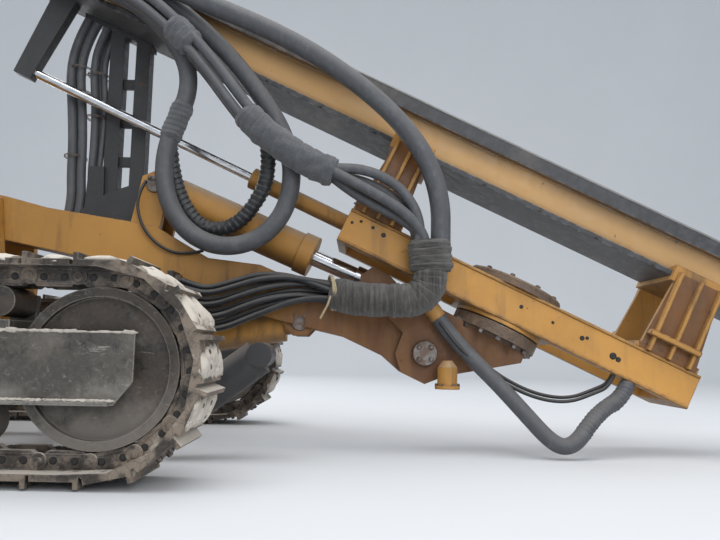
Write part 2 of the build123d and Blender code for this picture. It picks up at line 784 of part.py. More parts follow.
def rotary_motors():
    x0 = mast_head + carriage_rest
    axis = mast_top + drill_axis_height
    bodies = []
    for s in (-1, 1):
        motor = bar((x0 + 150 - seat_gap, s * 85, axis + 20), (x0 + 20, s * 85, axis + 20), 58)
        motor += bar((x0 + 22, s * 85, axis + 20), (x0 - 60, s * 85, axis + 20), 42)
        bodies.append(motor)
    return on_mast(Compound(bodies))


def spindle():
    x0 = mast_head + carriage_rest
    x1 = x0 + carriage_length
    axis = mast_top + drill_axis_height
    body = bar((x0 + 160, 0, axis), (x1 + 60, 0, axis), spindle_radius)
    body += bar((x1 - 60 + seat_gap, 0, axis), (x1 - 10, 0, axis), 85)
    body += bar((x1 + 60, 0, axis), (x1 + 60 + thread_length, 0, axis), thread_radius)
    return on_mast(body)


# Upper works


def deck():
    floor = box((deck_rear, deck_front), (-deck_half_width, deck_half_width),
                (deck_bottom, deck_bottom + deck_thickness))
    for x in (-2300.0, -1600.0):
        floor += box((x - 60, x + 60), (-230, 230), (chassis_top + seat_gap, deck_bottom + 1))
    return floor


def engine():
    return box((-2400, -1700), (-300, 300), (deck_bottom + deck_thickness + seat_gap, 1400))


def hinge_line(side):
    """The y and z of a door's hinge."""
    return side * (hood_half_width - sheet / 2), hood_top - 2 * door_edge


def hood_wall(x):
    """The front or the rear wall of the hood, with a hole at each upper corner for a door's hinge pin."""
    wall = box((x, x + sheet), (-hood_half_width, hood_half_width), (deck_bottom + deck_thickness + seat_gap, hood_top))
    for side in (-1, 1):
        wall -= bar((x - 1, *hinge_line(side)), (x + sheet + 1, *hinge_line(side)), hinge_pin_radius + pin_play)
    return wall


def hood_roof():
    low = hood_top + seat_gap
    return box((hood_rear, hood_front), (-hood_half_width - 20, hood_half_width + 20), (low, low + sheet))


def hood_sill(side):
    """The fixed lower panel of the hood's side."""
    y = hood_half_width
    low = deck_bottom + deck_thickness + seat_gap
    return box((hood_rear + sheet + seat_gap, hood_front - sheet - seat_gap), sorted((side * y, side * (y - sheet))),
               (low, hood_sill_top))


def hood_door(side):
    """A side door of the hood, hinged along its upper edge on a pin at each end."""
    y = hood_half_width
    ends = (hood_rear + sheet + door_gap, hood_front - sheet - door_gap)
    door = box(ends, sorted((side * y, side * (y - sheet))), (hood_sill_top + door_gap, hood_top - door_edge))
    reach = door_gap + sheet - 2
    return door + bar((ends[0] - reach, *hinge_line(side)), (ends[1] + reach, *hinge_line(side)), hinge_pin_radius)


def exhaust():
    z = hood_top + sheet + 2 * seat_gap
    return Pos(-2550, 250, z + 60) * Cylinder(50, 120)


def tank(side, x0, x1, top):
    y = deck_half_width
    z = deck_bottom + deck_thickness + seat_gap
    return box((x0, x1), sorted((side * (hood_half_width + 60), side * (y - 10))), (z, top))


def console():
    z = deck_bottom + deck_thickness + seat_gap
    body = box((-1530, -1410), (-860, -660), (z, z + 420))
    body += plate(((-1550, z + 400), (-1400, z + 400), (-1400, z + 440), (-1550, z + 510)), -760, 240)
    for k in range(5):
        body += Pos(-1475, -840 + 40 * k, z + 500) * Cylinder(7, 110)
    return body


def support_leg():
    """The stowed leg at the chassis' front: its foot end low at the back, its pinned head high in front."""
    y = -470.0
    leg = bar((90.0, y, 150.0), (430.0, y, 405.0), 74)
    leg += bar((110.0, y, 165.0), (50.0, y, 120.0), 60)
    leg += cross_disc(440, 412, 50, y, 148)
    face = front_cross_x + cross_beam_length / 2 + seat_gap
    arm = plate(((face, 255), (face, 315), (300, 430), (440, 462), (480, 430), (440, 380), (300, 350), (60, 300)),
                y + 74 + 13, 26)
    arm += box((face, face + 20), (-440, -330), (252, 330))
    return leg + arm


# Hoses


def off_plate(out, y, height):
    """A point straight out of the mast's hose plate, that far from its face."""
    x, z = mast_point(hose_plate + 12 + out, height)
    return x, y, z


def under_frame(x, y, height):
    """A point straight below the slide frame's rail, that far from its lower face."""
    px, pz = mast_point(x, -height - seat_gap)
    return px, y, pz


def under_pad(x, out):
    """A point straight out of the lower face of the post's pad, at the post's middle plane."""
    a = radians(mast_slope)
    return x - out * sin(a), rest_y, mast_line(x, mast_bottom - pad_depth - seat_gap) - out * cos(a)


def off_boom(x, out):
    """A point straight out of the boom's upper face, at the post's middle plane."""
    a = atan2(boom_top(x) - boom_top(x + 100), 100)
    return x + out * sin(a), rest_y, boom_top(x) + out * cos(a)


# each route: its diameter, then the points (x, y, z) from fitting to fitting
hose_routes = {
    "boom_hoses": (
        100,
        (10, -200, 560), (105, -200, 560), (205, -200, 594), (300, -200, 660), (400, -200, 700), (510, -200, 716),
        (620, -202, 708), (720, -212, 688), (800, -236, 664), (880, -266, 657), (clamp_x[0], -266, 657),
    ),
    "sleeve_hoses": (
        118,
        (clamp_x[1], -266, 657), (1060, -266, 657), (1110, -266, 685), (1140, -266, 735), (1140, -266, clamp_z[0]),
    ),
    "mast_hoses": (
        80,
        (1098, -266, clamp_z[1]), (1098, -266, 910), (1078, -274, 980), (1026, -286, 1050), (940, -294, 1118),
        (820, -298, 1175), (690, -300, 1215), (570, -300, 1268), (450, -300, 1348), (340, -300, 1436),
        (240, -300, 1560), (150, -300, 1680), (50, -300, 1795), (-60, -300, 1900), (-170, -300, 1990),
        off_plate(110, -300, 590), off_plate(0, -300, 590),
    ),
    "air_hose": (
        84,
        (1183, -266, clamp_z[1]), (1183, -266, 940), (1182, -278, 1075), (1150, -286, 1210), (1085, -292, 1340),
        (985, -295, 1465), (860, -298, 1580), (720, -299, 1685), (570, -300, 1780), (410, -300, 1862),
        (250, -300, 1932), (100, -300, 1990), (-60, -300, 2062), off_plate(140, -300, 690), off_plate(0, -300, 690),
    ),
    "loop_hose": (
        75,
        off_plate(0, -215, 585), off_plate(100, -215, 585), (-195, -215, 1992), (-110, -216, 1915), (-35, -217, 1825),
        (20, -217, 1720), (30, -217, 1600), (-10, -217, 1480), (-58, -217, 1345), (-68, -217, 1205),
        (-35, -217, 1070), (40, -217, 960), (150, -217, 896), (270, -217, 886), (385, -217, 930),
        (470, -217, 1020), (512, -217, 1140), (512, -217, 1270), (475, -217, 1400), (405, -217, 1525),
        (320, -217, 1640), (235, -217, 1745), (145, -217, 1840), (45, -217, 1930), (-55, -216, 2010),
        (-150, -216, 2088), off_plate(100, -215, 690), off_plate(0, -215, 690),
    ),
    "lower_hose": (
        lower_hose_diameter,
        lower_hose_port, (1240, -158, 516), (1330, -182, 415), (1440, -225, 305), (1555, -268, 175),
        (1640, -288, 80), (1705, -292, 43), (1765, -284, 66), (1832, -255, 145), (1905, -215, 205),
        under_frame(600, -176, 85), under_frame(600, -176, 0),
    ),
    "rest_hoses": (
        rest_hose_diameter,
        under_pad(rest_hose_x, 0), under_pad(rest_hose_x, 115), (-592, rest_y + 3, 1800), (-570, rest_y - 2, 1620),
        (-562, rest_y, 1430), (-566, rest_y + 3, 1270), off_boom(-568, 95), off_boom(-568, 0),
    ),
}


def hose(diameter, *points):
    """A tube along straight runs joined by arcs, each as large as its two runs allow."""
    at = [Vector(*p) for p in points]
    radii = []
    for before, here, after in zip(at, at[1:], at[2:]):
        turn = radians((here - before).get_angle(after - here))
        run = min((here - before).length, (after - here).length)
        radii.append(0.45 * run / tan(turn / 2))
    path = FilletPolyline(*at, radius=radii)
    tube = sweep(Plane(at[0], z_dir=at[1] - at[0]) * Circle(diameter / 2), path=path)
    return tube, radii, path.length


nodes = {}

lift_barrel, lift_rod = cylinder_pair(
    lift_barrel_pin, lift_rod_pin, lift_barrel_radius, lift_rod_radius, lift_barrel_length, lift_stroke, 110, 55
)
pitch_barrel, pitch_rod = cylinder_pair(
    pitch_barrel_pin, mast_point(*pitch_eye), pitch_barrel_radius, pitch_rod_radius, pitch_barrel_length,
    pitch_stroke, 140, 58
)
swing_barrel, swing_rod = swing_cylinder()
slide_barrel, slide_rod = slide_cylinder()

for side, move in (("right", lambda s: s), ("left", mirrored)):
    nodes["track_chain_" + side] = move(track_chain())
    nodes["idler_" + side] = move(idler())
    nodes["sprocket_" + side] = move(sprocket())
    nodes["rollers_" + side] = move(rollers())
    nodes["track_frame_" + side] = move(track_frame())
nodes["centre_frame"] = centre_frame()
nodes["swing_cylinder_seat"] = swing_cylinder_seat()
nodes["deck"] = deck()
nodes["engine"] = engine()
nodes["hood_front"] = hood_wall(hood_front - sheet)
nodes["hood_rear"] = hood_wall(hood_rear)
nodes["hood_roof"] = hood_roof()
nodes["hood_sill_right"] = hood_sill(-1)
nodes["hood_sill_left"] = hood_sill(1)
nodes["hood_door_right"] = hood_door(-1)
nodes["hood_door_left"] = hood_door(1)
nodes["exhaust"] = exhaust()
nodes["fuel_tank"] = tank(1, -2650, -1750, 1150)
nodes["oil_tank"] = tank(-1, -2650, -1850, 1150)
nodes["console"] = console()
nodes["support_leg"] = support_leg()
nodes["swing_bracket"] = swing_bracket()
nodes["boom"] = boom()
nodes["mast_rest"] = mast_rest()
nodes["lift_barrel"] = lift_barrel
nodes["lift_rod"] = lift_rod
nodes["pitch_barrel"] = pitch_barrel
nodes["pitch_rod"] = pitch_rod
nodes["swing_barrel"] = swing_barrel
nodes["swing_rod"] = swing_rod
nodes["tilt_head"] = tilt_head()
nodes["slide_frame"] = slide_frame()
nodes["guide_bracket_rear"] = guide_bracket(frame_rear + 5, frame_rear + 245)
nodes["guide_bracket_front"] = guide_bracket(frame_front - 310, frame_front - 20)
nodes["slide_barrel"] = slide_barrel
nodes["slide_rod"] = slide_rod
nodes["mast"] = mast()
nodes["mast_table"] = mast_table()
nodes["mast_foot_plate"] = mast_foot_plate()
nodes["feed_chain"] = feed_chain()
nodes["feed_motor"] = feed_motor()
nodes["carriage"] = carriage()
nodes["rotary_motors"] = rotary_motors()
nodes["spindle"] = spindle()
nodes["hose_plate_boom"] = hose_plate_boom()
nodes["hose_clamp_tilt"] = hose_clamp_tilt()
nodes["hose_clamp_frame"] = hose_clamp_frame()
nodes["hose_plate_mast"] = hose_plate_mast()
for name, (diameter, *points) in hose_routes.items():
    tube, radii, length = hose(diameter, *points)
    nodes[name] = tube
    if __name__ == "__main__":
        share = tube.volume / (pi * diameter**2 / 4 * length)
        print(name, "length", round(length), "radii", [round(r) for r in radii], "volume share", round(share, 4))

cord_nodes = tuple(hose_routes)
boxes = [shape.bounding_box() for name, shape in nodes.items() if name not in cord_nodes]
middle_x = (min(b.min.X for b in boxes) + max(b.max.X for b in boxes)) / 2

if __name__ == "__main__":
    os.makedirs("parts", exist_ok=True)
    for name, shape in nodes.items():
        export_step(Pos(-middle_x, 0, 0) * shape, f"parts/{name}.step")
    print("moved back by", round(middle_x, 3))
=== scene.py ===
"""A crawler drilling rig: finishes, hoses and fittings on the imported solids, with a plain studio stage."""
from math import cos, pi, radians, sin

import bmesh
import bpy
from mathutils import Matrix, Vector, noise


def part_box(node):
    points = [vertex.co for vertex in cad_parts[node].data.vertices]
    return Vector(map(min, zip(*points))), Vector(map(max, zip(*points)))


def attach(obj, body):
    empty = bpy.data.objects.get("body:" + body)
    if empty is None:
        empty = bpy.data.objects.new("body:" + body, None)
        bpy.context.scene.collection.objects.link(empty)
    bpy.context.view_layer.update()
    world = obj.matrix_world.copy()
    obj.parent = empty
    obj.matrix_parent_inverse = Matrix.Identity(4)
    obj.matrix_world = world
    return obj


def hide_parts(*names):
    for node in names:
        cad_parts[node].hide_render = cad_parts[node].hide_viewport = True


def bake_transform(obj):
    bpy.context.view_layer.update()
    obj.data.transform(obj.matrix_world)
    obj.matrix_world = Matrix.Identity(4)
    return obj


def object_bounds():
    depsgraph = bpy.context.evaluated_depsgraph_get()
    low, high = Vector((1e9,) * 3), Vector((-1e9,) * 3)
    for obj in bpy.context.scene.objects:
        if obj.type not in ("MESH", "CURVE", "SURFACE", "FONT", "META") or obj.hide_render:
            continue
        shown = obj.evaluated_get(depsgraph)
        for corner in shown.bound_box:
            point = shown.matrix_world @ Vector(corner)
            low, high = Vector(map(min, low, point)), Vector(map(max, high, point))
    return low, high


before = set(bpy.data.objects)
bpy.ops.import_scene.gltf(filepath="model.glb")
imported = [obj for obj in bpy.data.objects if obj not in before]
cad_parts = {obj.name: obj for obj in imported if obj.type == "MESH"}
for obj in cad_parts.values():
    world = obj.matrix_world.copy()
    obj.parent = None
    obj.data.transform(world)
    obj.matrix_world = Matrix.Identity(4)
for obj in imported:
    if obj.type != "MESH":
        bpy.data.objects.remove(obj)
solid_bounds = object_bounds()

bl_info = {
    "name": "Crawler drilling rig",
    "version": (1, 0, 0),
    "blender": (4, 5, 0),
    "location": "View3D > Sidebar > Drilling rig",
    "description": "Finishes, hoses and fittings of a crawler drilling rig",
    "category": "Object",
}

# Places, in metres. The rig's own frame has its x zero at the front idlers' axle. On the mast, lengths run
# from the turntable towards the mast's foot, and heights are square to it from the sliding frame's underside.

axle_x = -0.1764
mast_slope = radians(25)
turn_place = (1.487, 0.575)
mast_bottom, mast_top = 0.521, 0.757
bottom_rail, top_rail = 0.024, 0.066
mast_head, mast_foot = -3.400, 1.300
mast_half_width = 0.175
web_half_width = 0.1415
frame_half_width = 0.200
bracket_foot = 0.1853
turntable_top = 0.186
turntable_seat = -0.072
hose_plate_place = -2.338
track_y = 0.975
side_plate = 0.107
axle_z = 0.365
wheel_base = 1.950
hood_half_width = 0.620
hinge_height = 1.5355


def at(x, y, z):
    """A point of the rig's own frame."""
    return Vector((x + axle_x, y, z))


def on_mast(along, y, height):
    """A point of the mast's frame: along it from the turntable, and square to it."""
    x = turn_place[0] + along * cos(mast_slope) + height * sin(mast_slope)
    z = turn_place[1] - along * sin(mast_slope) + height * cos(mast_slope)
    return at(x, y, z)


mast_along = (on_mast(1, 0, 0) - on_mast(0, 0, 0)).normalized()
mast_up = (on_mast(0, 0, 1) - on_mast(0, 0, 0)).normalized()
forward = Vector((1, 0, 0))
left = Vector((0, 1, 0))
right = Vector((0, -1, 0))
up = Vector((0, 0, 1))
rig_axes = (forward, left, up)
mast_axes = (mast_along, left, mast_up)
both_sides = ((-1, "right"), (1, "left"))


def sideways(reach):
    """A step towards the rig's left, or towards its right where it is negative."""
    return Vector((0, reach, 0))


def spokes(count, one, two, start=0.0):
    """The angle and direction of each of that many equal spokes, in the plane of one and two."""
    for k in range(count):
        turn = start + 2 * pi * k / count
        yield turn, one * cos(turn) + two * sin(turn)


def along_mast(node):
    """How far along the mast the node's middle lies."""
    low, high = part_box(node)
    return ((low + high) / 2 - on_mast(0, 0, 0)).dot(mast_along)


# Finishes


class Finish:
    """One procedural material, put together node by node."""

    def __init__(self, name, metallic=0.0):
        self.material = bpy.data.materials.new(name)
        self.material.use_nodes = True
        self.tree = self.material.node_tree
        self.shader = self.tree.nodes["Principled BSDF"]
        self.shader.inputs["Metallic"].default_value = metallic
        self.place = self.node("ShaderNodeTexCoord").outputs["Object"]
        self.facing = self.node("ShaderNodeNewGeometry").outputs["Normal"]

    def feed(self, socket, value):
        """A socket's constant, or a link to it."""
        if isinstance(value, bpy.types.NodeSocket):
            self.tree.links.new(value, socket)
        else:
            socket.default_value = value

    def node(self, kind, inputs=None, **settings):
        made = self.tree.nodes.new(kind)
        for key, value in settings.items():
            setattr(made, key, value)
        for key, value in (inputs or {}).items():
            self.feed(made.inputs[key], value)
        return made

    def maths(self, operation, first, second=0.0, clamp=False):
        inputs = {0: first, 1: second}
        return self.node("ShaderNodeMath", inputs, operation=operation, use_clamp=clamp).outputs[0]

    def noise(self, scale, detail=4.0, stretch=None, roughness=0.6):
        place = self.place
        if stretch:
            place = self.node("ShaderNodeMapping", {"Vector": place, "Scale": stretch}).outputs[0]
        inputs = {"Vector": place, "Scale": scale, "Detail": detail, "Roughness": roughness}
        return self.node("ShaderNodeTexNoise", inputs).outputs["Fac"]

    def between(self, value, low, high, start=0.0, end=1.0):
        inputs = {"Value": value, "From Min": low, "From Max": high, "To Min": start, "To Max": end}
        return self.node("ShaderNodeMapRange", inputs, interpolation_type="SMOOTHSTEP").outputs[0]

    def mix(self, share, first, second):
        made = self.node("ShaderNodeMix", {"Factor": share}, data_type="RGBA")
        self.feed(made.inputs[6], first)
        self.feed(made.inputs[7], second)
        return made.outputs[2]

    def dot(self, first, second):
        inputs = {0: first, 1: second}
        return self.node("ShaderNodeVectorMath", inputs, operation="DOT_PRODUCT").outputs["Value"]

    def along(self, direction):
        """How far the surface point lies along that direction."""
        return self.dot(self.place, direction)

    def facing_up(self):
        """1 on what faces up, 0 on upright faces, -1 on what faces down."""
        return self.dot(self.facing, (0, 0, 1))

    def edges(self, radius):
        """Near 1 along the solid's sharp edges, and the softened normal."""
        soft = self.node("ShaderNodeBevel", {"Radius": radius}, samples=3).outputs[0]
        return self.between(self.dot(soft, self.facing), 0.995, 0.90), soft

    def close(self, colour, rough, height, depth, normal=None, strength=0.6):
        """The finished material: its colour, its roughness, and its relief of that depth in metres."""
        bump = {"Height": height, "Strength": strength, "Distance": depth}
        if normal is not None:
            bump["Normal"] = normal
        relief = self.node("ShaderNodeBump", bump).outputs[0]
        for key, value in (("Base Color", colour), ("Roughness", rough), ("Normal", relief)):
            self.feed(self.shader.inputs[key], value)
        return self.material


def shade(colour, factor):
    """The colour made darker or lighter."""
    return (colour[0] * factor, colour[1] * factor, colour[2] * factor, 1.0)


def site_paint(name, colour, dirt_and_shade, dust, primer, wear=0.5, grime=0.35, brown_soil_and_shade=None):
    """Sun-faded machine paint: chipped edges, rust spots, run-down dirt, dust on what faces up, and painted
    shade that darkens what faces down.

    The last argument gives where along x the brown sets in and where it is full, within the boom's width, and
    how strong; the brown is partly soil and partly painted shade.
    """
    f = Finish(name)
    edge, soft = f.edges(0.008)
    broad = f.noise(1.7, 5.0)
    fine = f.noise(38.0, 6.0)
    runs = f.noise(9.0, 5.0, stretch=(1.0, 1.0, 0.16))
    spots = f.noise(21.0, 7.0, roughness=0.72)
    faded = f.mix(f.between(broad, 0.35, 0.68), shade(colour, 0.84), shade(colour, 1.1))
    speckled = f.mix(f.between(fine, 0.5, 0.72, 0.0, 0.22), faded, shade(colour, 1.25))
    dirty = f.mix(f.maths("MULTIPLY", f.between(runs, 0.50, 0.72), grime), speckled, dirt_and_shade)
    film = f.maths("MULTIPLY", f.between(f.facing_up(), 0.25, 0.95), f.between(broad, 0.2, 0.7, 0.35, 0.85))
    dusty = f.mix(film, dirty, dust)
    # painted shade: faces turned down are darkened towards the dirt colour
    below = f.between(f.facing_up(), -0.15, -0.85, 0.0, 0.70)
    shaded = f.mix(below, dusty, dirt_and_shade)
    chips = f.maths("MULTIPLY", edge, f.between(fine, 0.52 - 0.1 * wear, 0.60))
    rust = f.between(spots, 0.655 - 0.03 * wear, 0.70)
    bare = f.maths("MAXIMUM", chips, rust, clamp=True)
    # brown that grows along x within the boom's width: partly soil, partly painted shade
    if brown_soil_and_shade:
        first, last, share = brown_soil_and_shade
        place = f.node("ShaderNodeSeparateXYZ", {"Vector": f.place})
        inside = f.between(f.maths("ABSOLUTE", place.outputs["Y"]), 0.149, 0.156, 1.0, 0.0)
        brown = f.maths("MULTIPLY", f.between(place.outputs["X"], first, last, 0.0, share), inside)
        brown = f.maths("MULTIPLY", brown, f.between(broad, 0.28, 0.5, 0.75, 1.0))
        brown = f.maths("MULTIPLY", brown, f.between(runs, 0.42, 0.56, 0.85, 1.0))
        shaded = f.mix(brown, shaded, (0.125, 0.045, 0.013, 1))
    colour_out = f.mix(bare, shaded, primer)
    rough = f.between(fine, 0.3, 0.7, 0.42, 0.66)
    height = f.maths("SUBTRACT", f.maths("MULTIPLY", fine, 0.35), bare)
    f.shader.inputs["Coat Weight"].default_value = 0.08
    f.shader.inputs["Coat Roughness"].default_value = 0.4
    return f.close(colour_out, rough, height, 0.0012, soft)


def mast_paint(name, colour, dark, pale):
    """The mast's paint: a hazy web, a dark greased guide rail on top and a dark rail below, with painted
    shade on the web under the top rail and along the bottom rail.
    """
    f = Finish(name)
    edge, soft = f.edges(0.008)
    web_low, web_high = mast_bottom + bottom_rail, mast_top - top_rail
    height = f.maths("SUBTRACT", f.along(mast_up), on_mast(0, 0, 0).dot(mast_up))
    broad = f.noise(1.3, 5.0)
    fine = f.noise(30.0, 6.0)
    streaks = f.noise(7.0, 6.0, stretch=(0.25, 1.0, 0.7))
    spots = f.noise(16.0, 7.0, roughness=0.72)
    web = f.mix(f.between(broad, 0.3, 0.7), shade(colour, 0.88), shade(colour, 1.08))
    web = f.mix(f.between(streaks, 0.5, 0.8, 0.0, 0.4), web, pale)
    web = f.mix(f.between(spots, 0.645, 0.70), web, dark)
    # painted shade: a dark brown band on the web under the overhanging top rail
    painted_shade = f.between(height, web_high - 0.084, web_high, 0.0, 0.62)
    painted_shade = f.maths("MULTIPLY", painted_shade, f.between(streaks, 0.2, 0.6, 0.6, 1.0))
    web = f.mix(painted_shade, web, (0.10, 0.065, 0.035, 1))
    # painted shade: the web darkens in the corner along the bottom rail
    low = f.between(height, web_low + 0.036, web_low, 0.0, 0.45)
    web = f.mix(low, web, (0.13, 0.085, 0.045, 1))
    rail = f.mix(f.between(fine, 0.35, 0.7), dark, shade(dark, 2.2))
    rail = f.mix(f.between(broad, 0.5, 0.75, 0.0, 0.5), rail, pale)
    top = f.between(height, web_high, web_high + 0.002)
    bottom = f.between(height, web_low + 0.002, web_low - 0.002)
    rails = f.maths("MAXIMUM", top, bottom)
    colour_out = f.mix(rails, web, rail)
    chips = f.maths("MULTIPLY", edge, f.between(fine, 0.45, 0.6))
    worn = f.mix(chips, colour_out, (0.30, 0.29, 0.28, 1))
    rough = f.between(fine, 0.3, 0.7, 0.45, 0.7)
    return f.close(worn, rough, f.maths("ADD", fine, streaks), 0.001, soft)


def caked_steel(name, steel, mud, pale, cover, metallic=0.25):
    """Track steel under dried clay: thick and pale on what faces up, thin and dark on the sides."""
    f = Finish(name, metallic)
    edge, soft = f.edges(0.006)
    lumps = f.noise(13.0, 9.0, roughness=0.7)
    broad = f.noise(3.1, 4.0)
    grit = f.noise(95.0, 5.0)
    cells = {"Vector": f.place, "Scale": 24.0}
    crack = f.node("ShaderNodeTexVoronoi", cells, feature="DISTANCE_TO_EDGE").outputs[0]
    metal = f.mix(f.between(grit, 0.35, 0.7), steel, shade(steel, 1.9))
    metal = f.mix(f.maths("MULTIPLY", edge, f.between(lumps, 0.4, 0.6)), metal, (0.42, 0.40, 0.38, 1))
    upward = f.between(f.facing_up(), -0.1, 0.9, 0.0, 0.35)
    amount = f.maths("ADD", f.maths("ADD", lumps, f.maths("MULTIPLY", broad, 0.45)), upward)
    film = f.between(amount, 0.86 - cover, 1.0 - cover)
    thick = f.between(amount, 1.02 - cover, 1.2 - cover)
    clay = f.mix(f.between(broad, 0.35, 0.65), mud, shade(mud, 1.5))
    clay = f.mix(f.between(crack, 0.05, 0.0, 0.0, 0.5), clay, shade(mud, 0.5))
    colour_out = f.mix(thick, f.mix(film, metal, clay), pale)
    rough = f.between(film, 0.0, 1.0, 0.42, 0.95)
    relief = f.maths("ADD", f.maths("MULTIPLY", thick, 0.8), f.maths("MULTIPLY", grit, 0.25))
    relief = f.maths("ADD", relief, f.maths("MULTIPLY", lumps, 0.6))
    return f.close(colour_out, rough, relief, 0.006, soft, 0.8)


def hose_rubber(name, colour, dust, gloss=0.38, weave=0.0):
    """Hydraulic hose cover: black rubber with a cloth imprint, scuffs and dust on its upper side."""
    f = Finish(name)
    broad = f.noise(6.0, 4.0)
    fine = f.noise(260.0, 3.0)
    scuffs = f.noise(34.0, 8.0, stretch=(1.0, 1.0, 0.6), roughness=0.7)
    top = f.between(f.facing_up(), -0.3, 0.9, 0.02, 0.75)
    film = f.maths("MULTIPLY", top, f.between(broad, 0.25, 0.75, 0.3, 1.0))
    base = f.mix(f.between(scuffs, 0.45, 0.75, 0.0, 0.5), colour, shade(colour, 2.1))
    colour_out = f.mix(film, base, dust)
    rough = f.between(film, 0.0, 0.8, gloss, 0.85)
    height = f.maths("ADD", f.maths("MULTIPLY", fine, 0.5 + weave), scuffs)
    f.shader.inputs["Specular IOR Level"].default_value = 0.45
    return f.close(colour_out, rough, height, 0.0012)


def wrap_cloth(name, colour, dust, creased=None):
    """Woven wear tape wound over the hoses: threads, lint, dried mud, and creases with that stretch, darkened
    by painted shade, with a painted highlight on their ridges.
    """
    f = Finish(name)
    broad = f.noise(9.0, 6.0)
    lint = f.noise(140.0, 6.0, roughness=0.75)
    weave = {"Vector": f.place, "Scale": 190.0, "Distortion": 3.0, "Detail": 2.0}
    threads = f.node("ShaderNodeTexWave", weave, wave_type="BANDS", bands_direction="DIAGONAL").outputs["Fac"]
    base = f.mix(f.between(lint, 0.35, 0.7), shade(colour, 0.7), shade(colour, 1.5))
    base = f.mix(f.maths("MULTIPLY", threads, 0.25), base, shade(colour, 1.7))
    film = f.maths("MULTIPLY", f.between(f.facing_up(), -0.4, 0.9, 0.1, 0.7), f.between(broad, 0.3, 0.7))
    colour_out = f.mix(film, base, dust)
    height = f.maths("ADD", f.maths("MULTIPLY", threads, 0.35), f.maths("ADD", lint, broad))
    if creased:
        creases = f.noise(17.0, 5.0, stretch=creased, roughness=0.65)
        # the creases get painted shade, and their ridges a painted highlight in the dust colour
        colour_out = f.mix(f.between(creases, 0.50, 0.58, 0.0, 0.7), colour_out, shade(colour, 0.35))
        colour_out = f.mix(f.between(creases, 0.44, 0.38, 0.0, 0.5), colour_out, dust)
        height = f.maths("SUBTRACT", height, f.maths("MULTIPLY", creases, 4.0))
    f.shader.inputs["Sheen Weight"].default_value = 0.25
    f.shader.inputs["Sheen Roughness"].default_value = 0.6
    return f.close(colour_out, 0.92, height, 0.003, strength=0.8)


def worn_plate(name, steel, mud, pale, low):
    """Big worn steel faces: brown and grey patches, scratches, and pale dust that thickens below low."""
    f = Finish(name, 0.2)
    edge, soft = f.edges(0.007)
    broad = f.noise(3.4, 6.0, roughness=0.68)
    patch = f.noise(8.5, 9.0, roughness=0.72)
    grit = f.noise(70.0, 6.0, roughness=0.7)
    flecks = f.noise(30.0, 10.0, roughness=0.82)
    cuts = f.noise(11.0, 9.0, stretch=(0.35, 1.0, 3.2), roughness=0.8)
    height = f.node("ShaderNodeSeparateXYZ", {"Vector": f.place}).outputs["Z"]
    base = f.mix(f.between(broad, 0.40, 0.60), steel, mud)
    base = f.mix(f.between(grit, 0.45, 0.75, 0.0, 0.45), base, shade(steel, 2.4))
    base = f.mix(f.between(patch, 0.51, 0.57, 0.0, 0.75), base, shade(steel, 0.40))
    base = f.mix(f.between(flecks, 0.58, 0.64, 0.0, 0.75), base, shade(mud, 0.35))
    base = f.mix(f.between(flecks, 0.42, 0.38, 0.0, 0.55), base, shade(pale, 0.8))
    reach = f.between(height, low + 0.16, low - 0.10, 0.0, 0.20)
    drift = f.maths("MULTIPLY", f.maths("ADD", patch, broad), 0.5)
    dust = f.between(f.maths("ADD", drift, reach), 0.50, 0.68)
    base = f.mix(f.maths("MULTIPLY", dust, 0.62), base, pale)
    scratch = f.between(cuts, 0.61, 0.65, 0.0, 0.75)
    base = f.mix(f.maths("MAXIMUM", scratch, f.maths("MULTIPLY", edge, f.between(grit, 0.3, 0.5))), base,
                 shade(pale, 1.25))
    relief = f.maths("ADD", f.maths("MULTIPLY", patch, 0.8), f.maths("MULTIPLY", flecks, 0.6))
    return f.close(base, f.between(dust, 0.0, 1.0, 0.48, 0.9), relief, 0.003, soft, 0.7)


def bare_metal(name, colour, rough_low, rough_high, rust, amount=0.3, metallic=0.85):
    """Bare or plated steel: fine scratches, smudges and rust in patches."""
    f = Finish(name, metallic)
    edge, soft = f.edges(0.004)
    scratches = f.noise(60.0, 5.0, stretch=(0.15, 1.0, 1.0))
    smudge = f.noise(7.0, 5.0)
    spots = f.noise(26.0, 7.0, roughness=0.7)
    base = f.mix(f.between(scratches, 0.35, 0.7), shade(colour, 0.85), shade(colour, 1.12))
    bloom = f.between(spots, 0.60 - 0.3 * amount, 0.74 - 0.3 * amount)
    base = f.mix(f.maths("MULTIPLY", bloom, amount), base, rust)
    base = f.mix(f.maths("MULTIPLY", edge, 0.5), base, shade(colour, 1.3))
    rough = f.between(smudge, 0.3, 0.7, rough_low, rough_high)
    return f.close(base, rough, scratches, 0.0003, soft, 0.4)


def plate_tread(name, colour, dust):
    """Raised-bar floor plate under dust and boot marks."""
    f = Finish(name, 0.3)
    _, soft = f.edges(0.006)
    cells = {"Vector": f.place, "Scale": 24.0, "Randomness": 0.0}
    cell = f.node("ShaderNodeTexVoronoi", cells, feature="F1", distance="MANHATTAN").outputs["Distance"]
    bars = f.between(cell, 0.34, 0.26)
    marks = f.noise(5.0, 7.0)
    upward = f.between(f.facing_up(), 0.7, 0.95)
    base = f.mix(f.maths("MULTIPLY", bars, upward), shade(colour, 0.8), shade(colour, 1.5))
    colour_out = f.mix(f.maths("MULTIPLY", f.between(marks, 0.35, 0.7, 0.1, 0.75), upward), base, dust)
    rough = f.between(marks, 0.3, 0.7, 0.5, 0.85)
    height = f.maths("ADD", f.maths("MULTIPLY", bars, upward), f.maths("MULTIPLY", marks, 0.2))
    return f.close(colour_out, rough, height, 0.003, soft)


# Meshes


def link(obj):
    """The object, put in the scene."""
    bpy.context.scene.collection.objects.link(obj)
    return obj


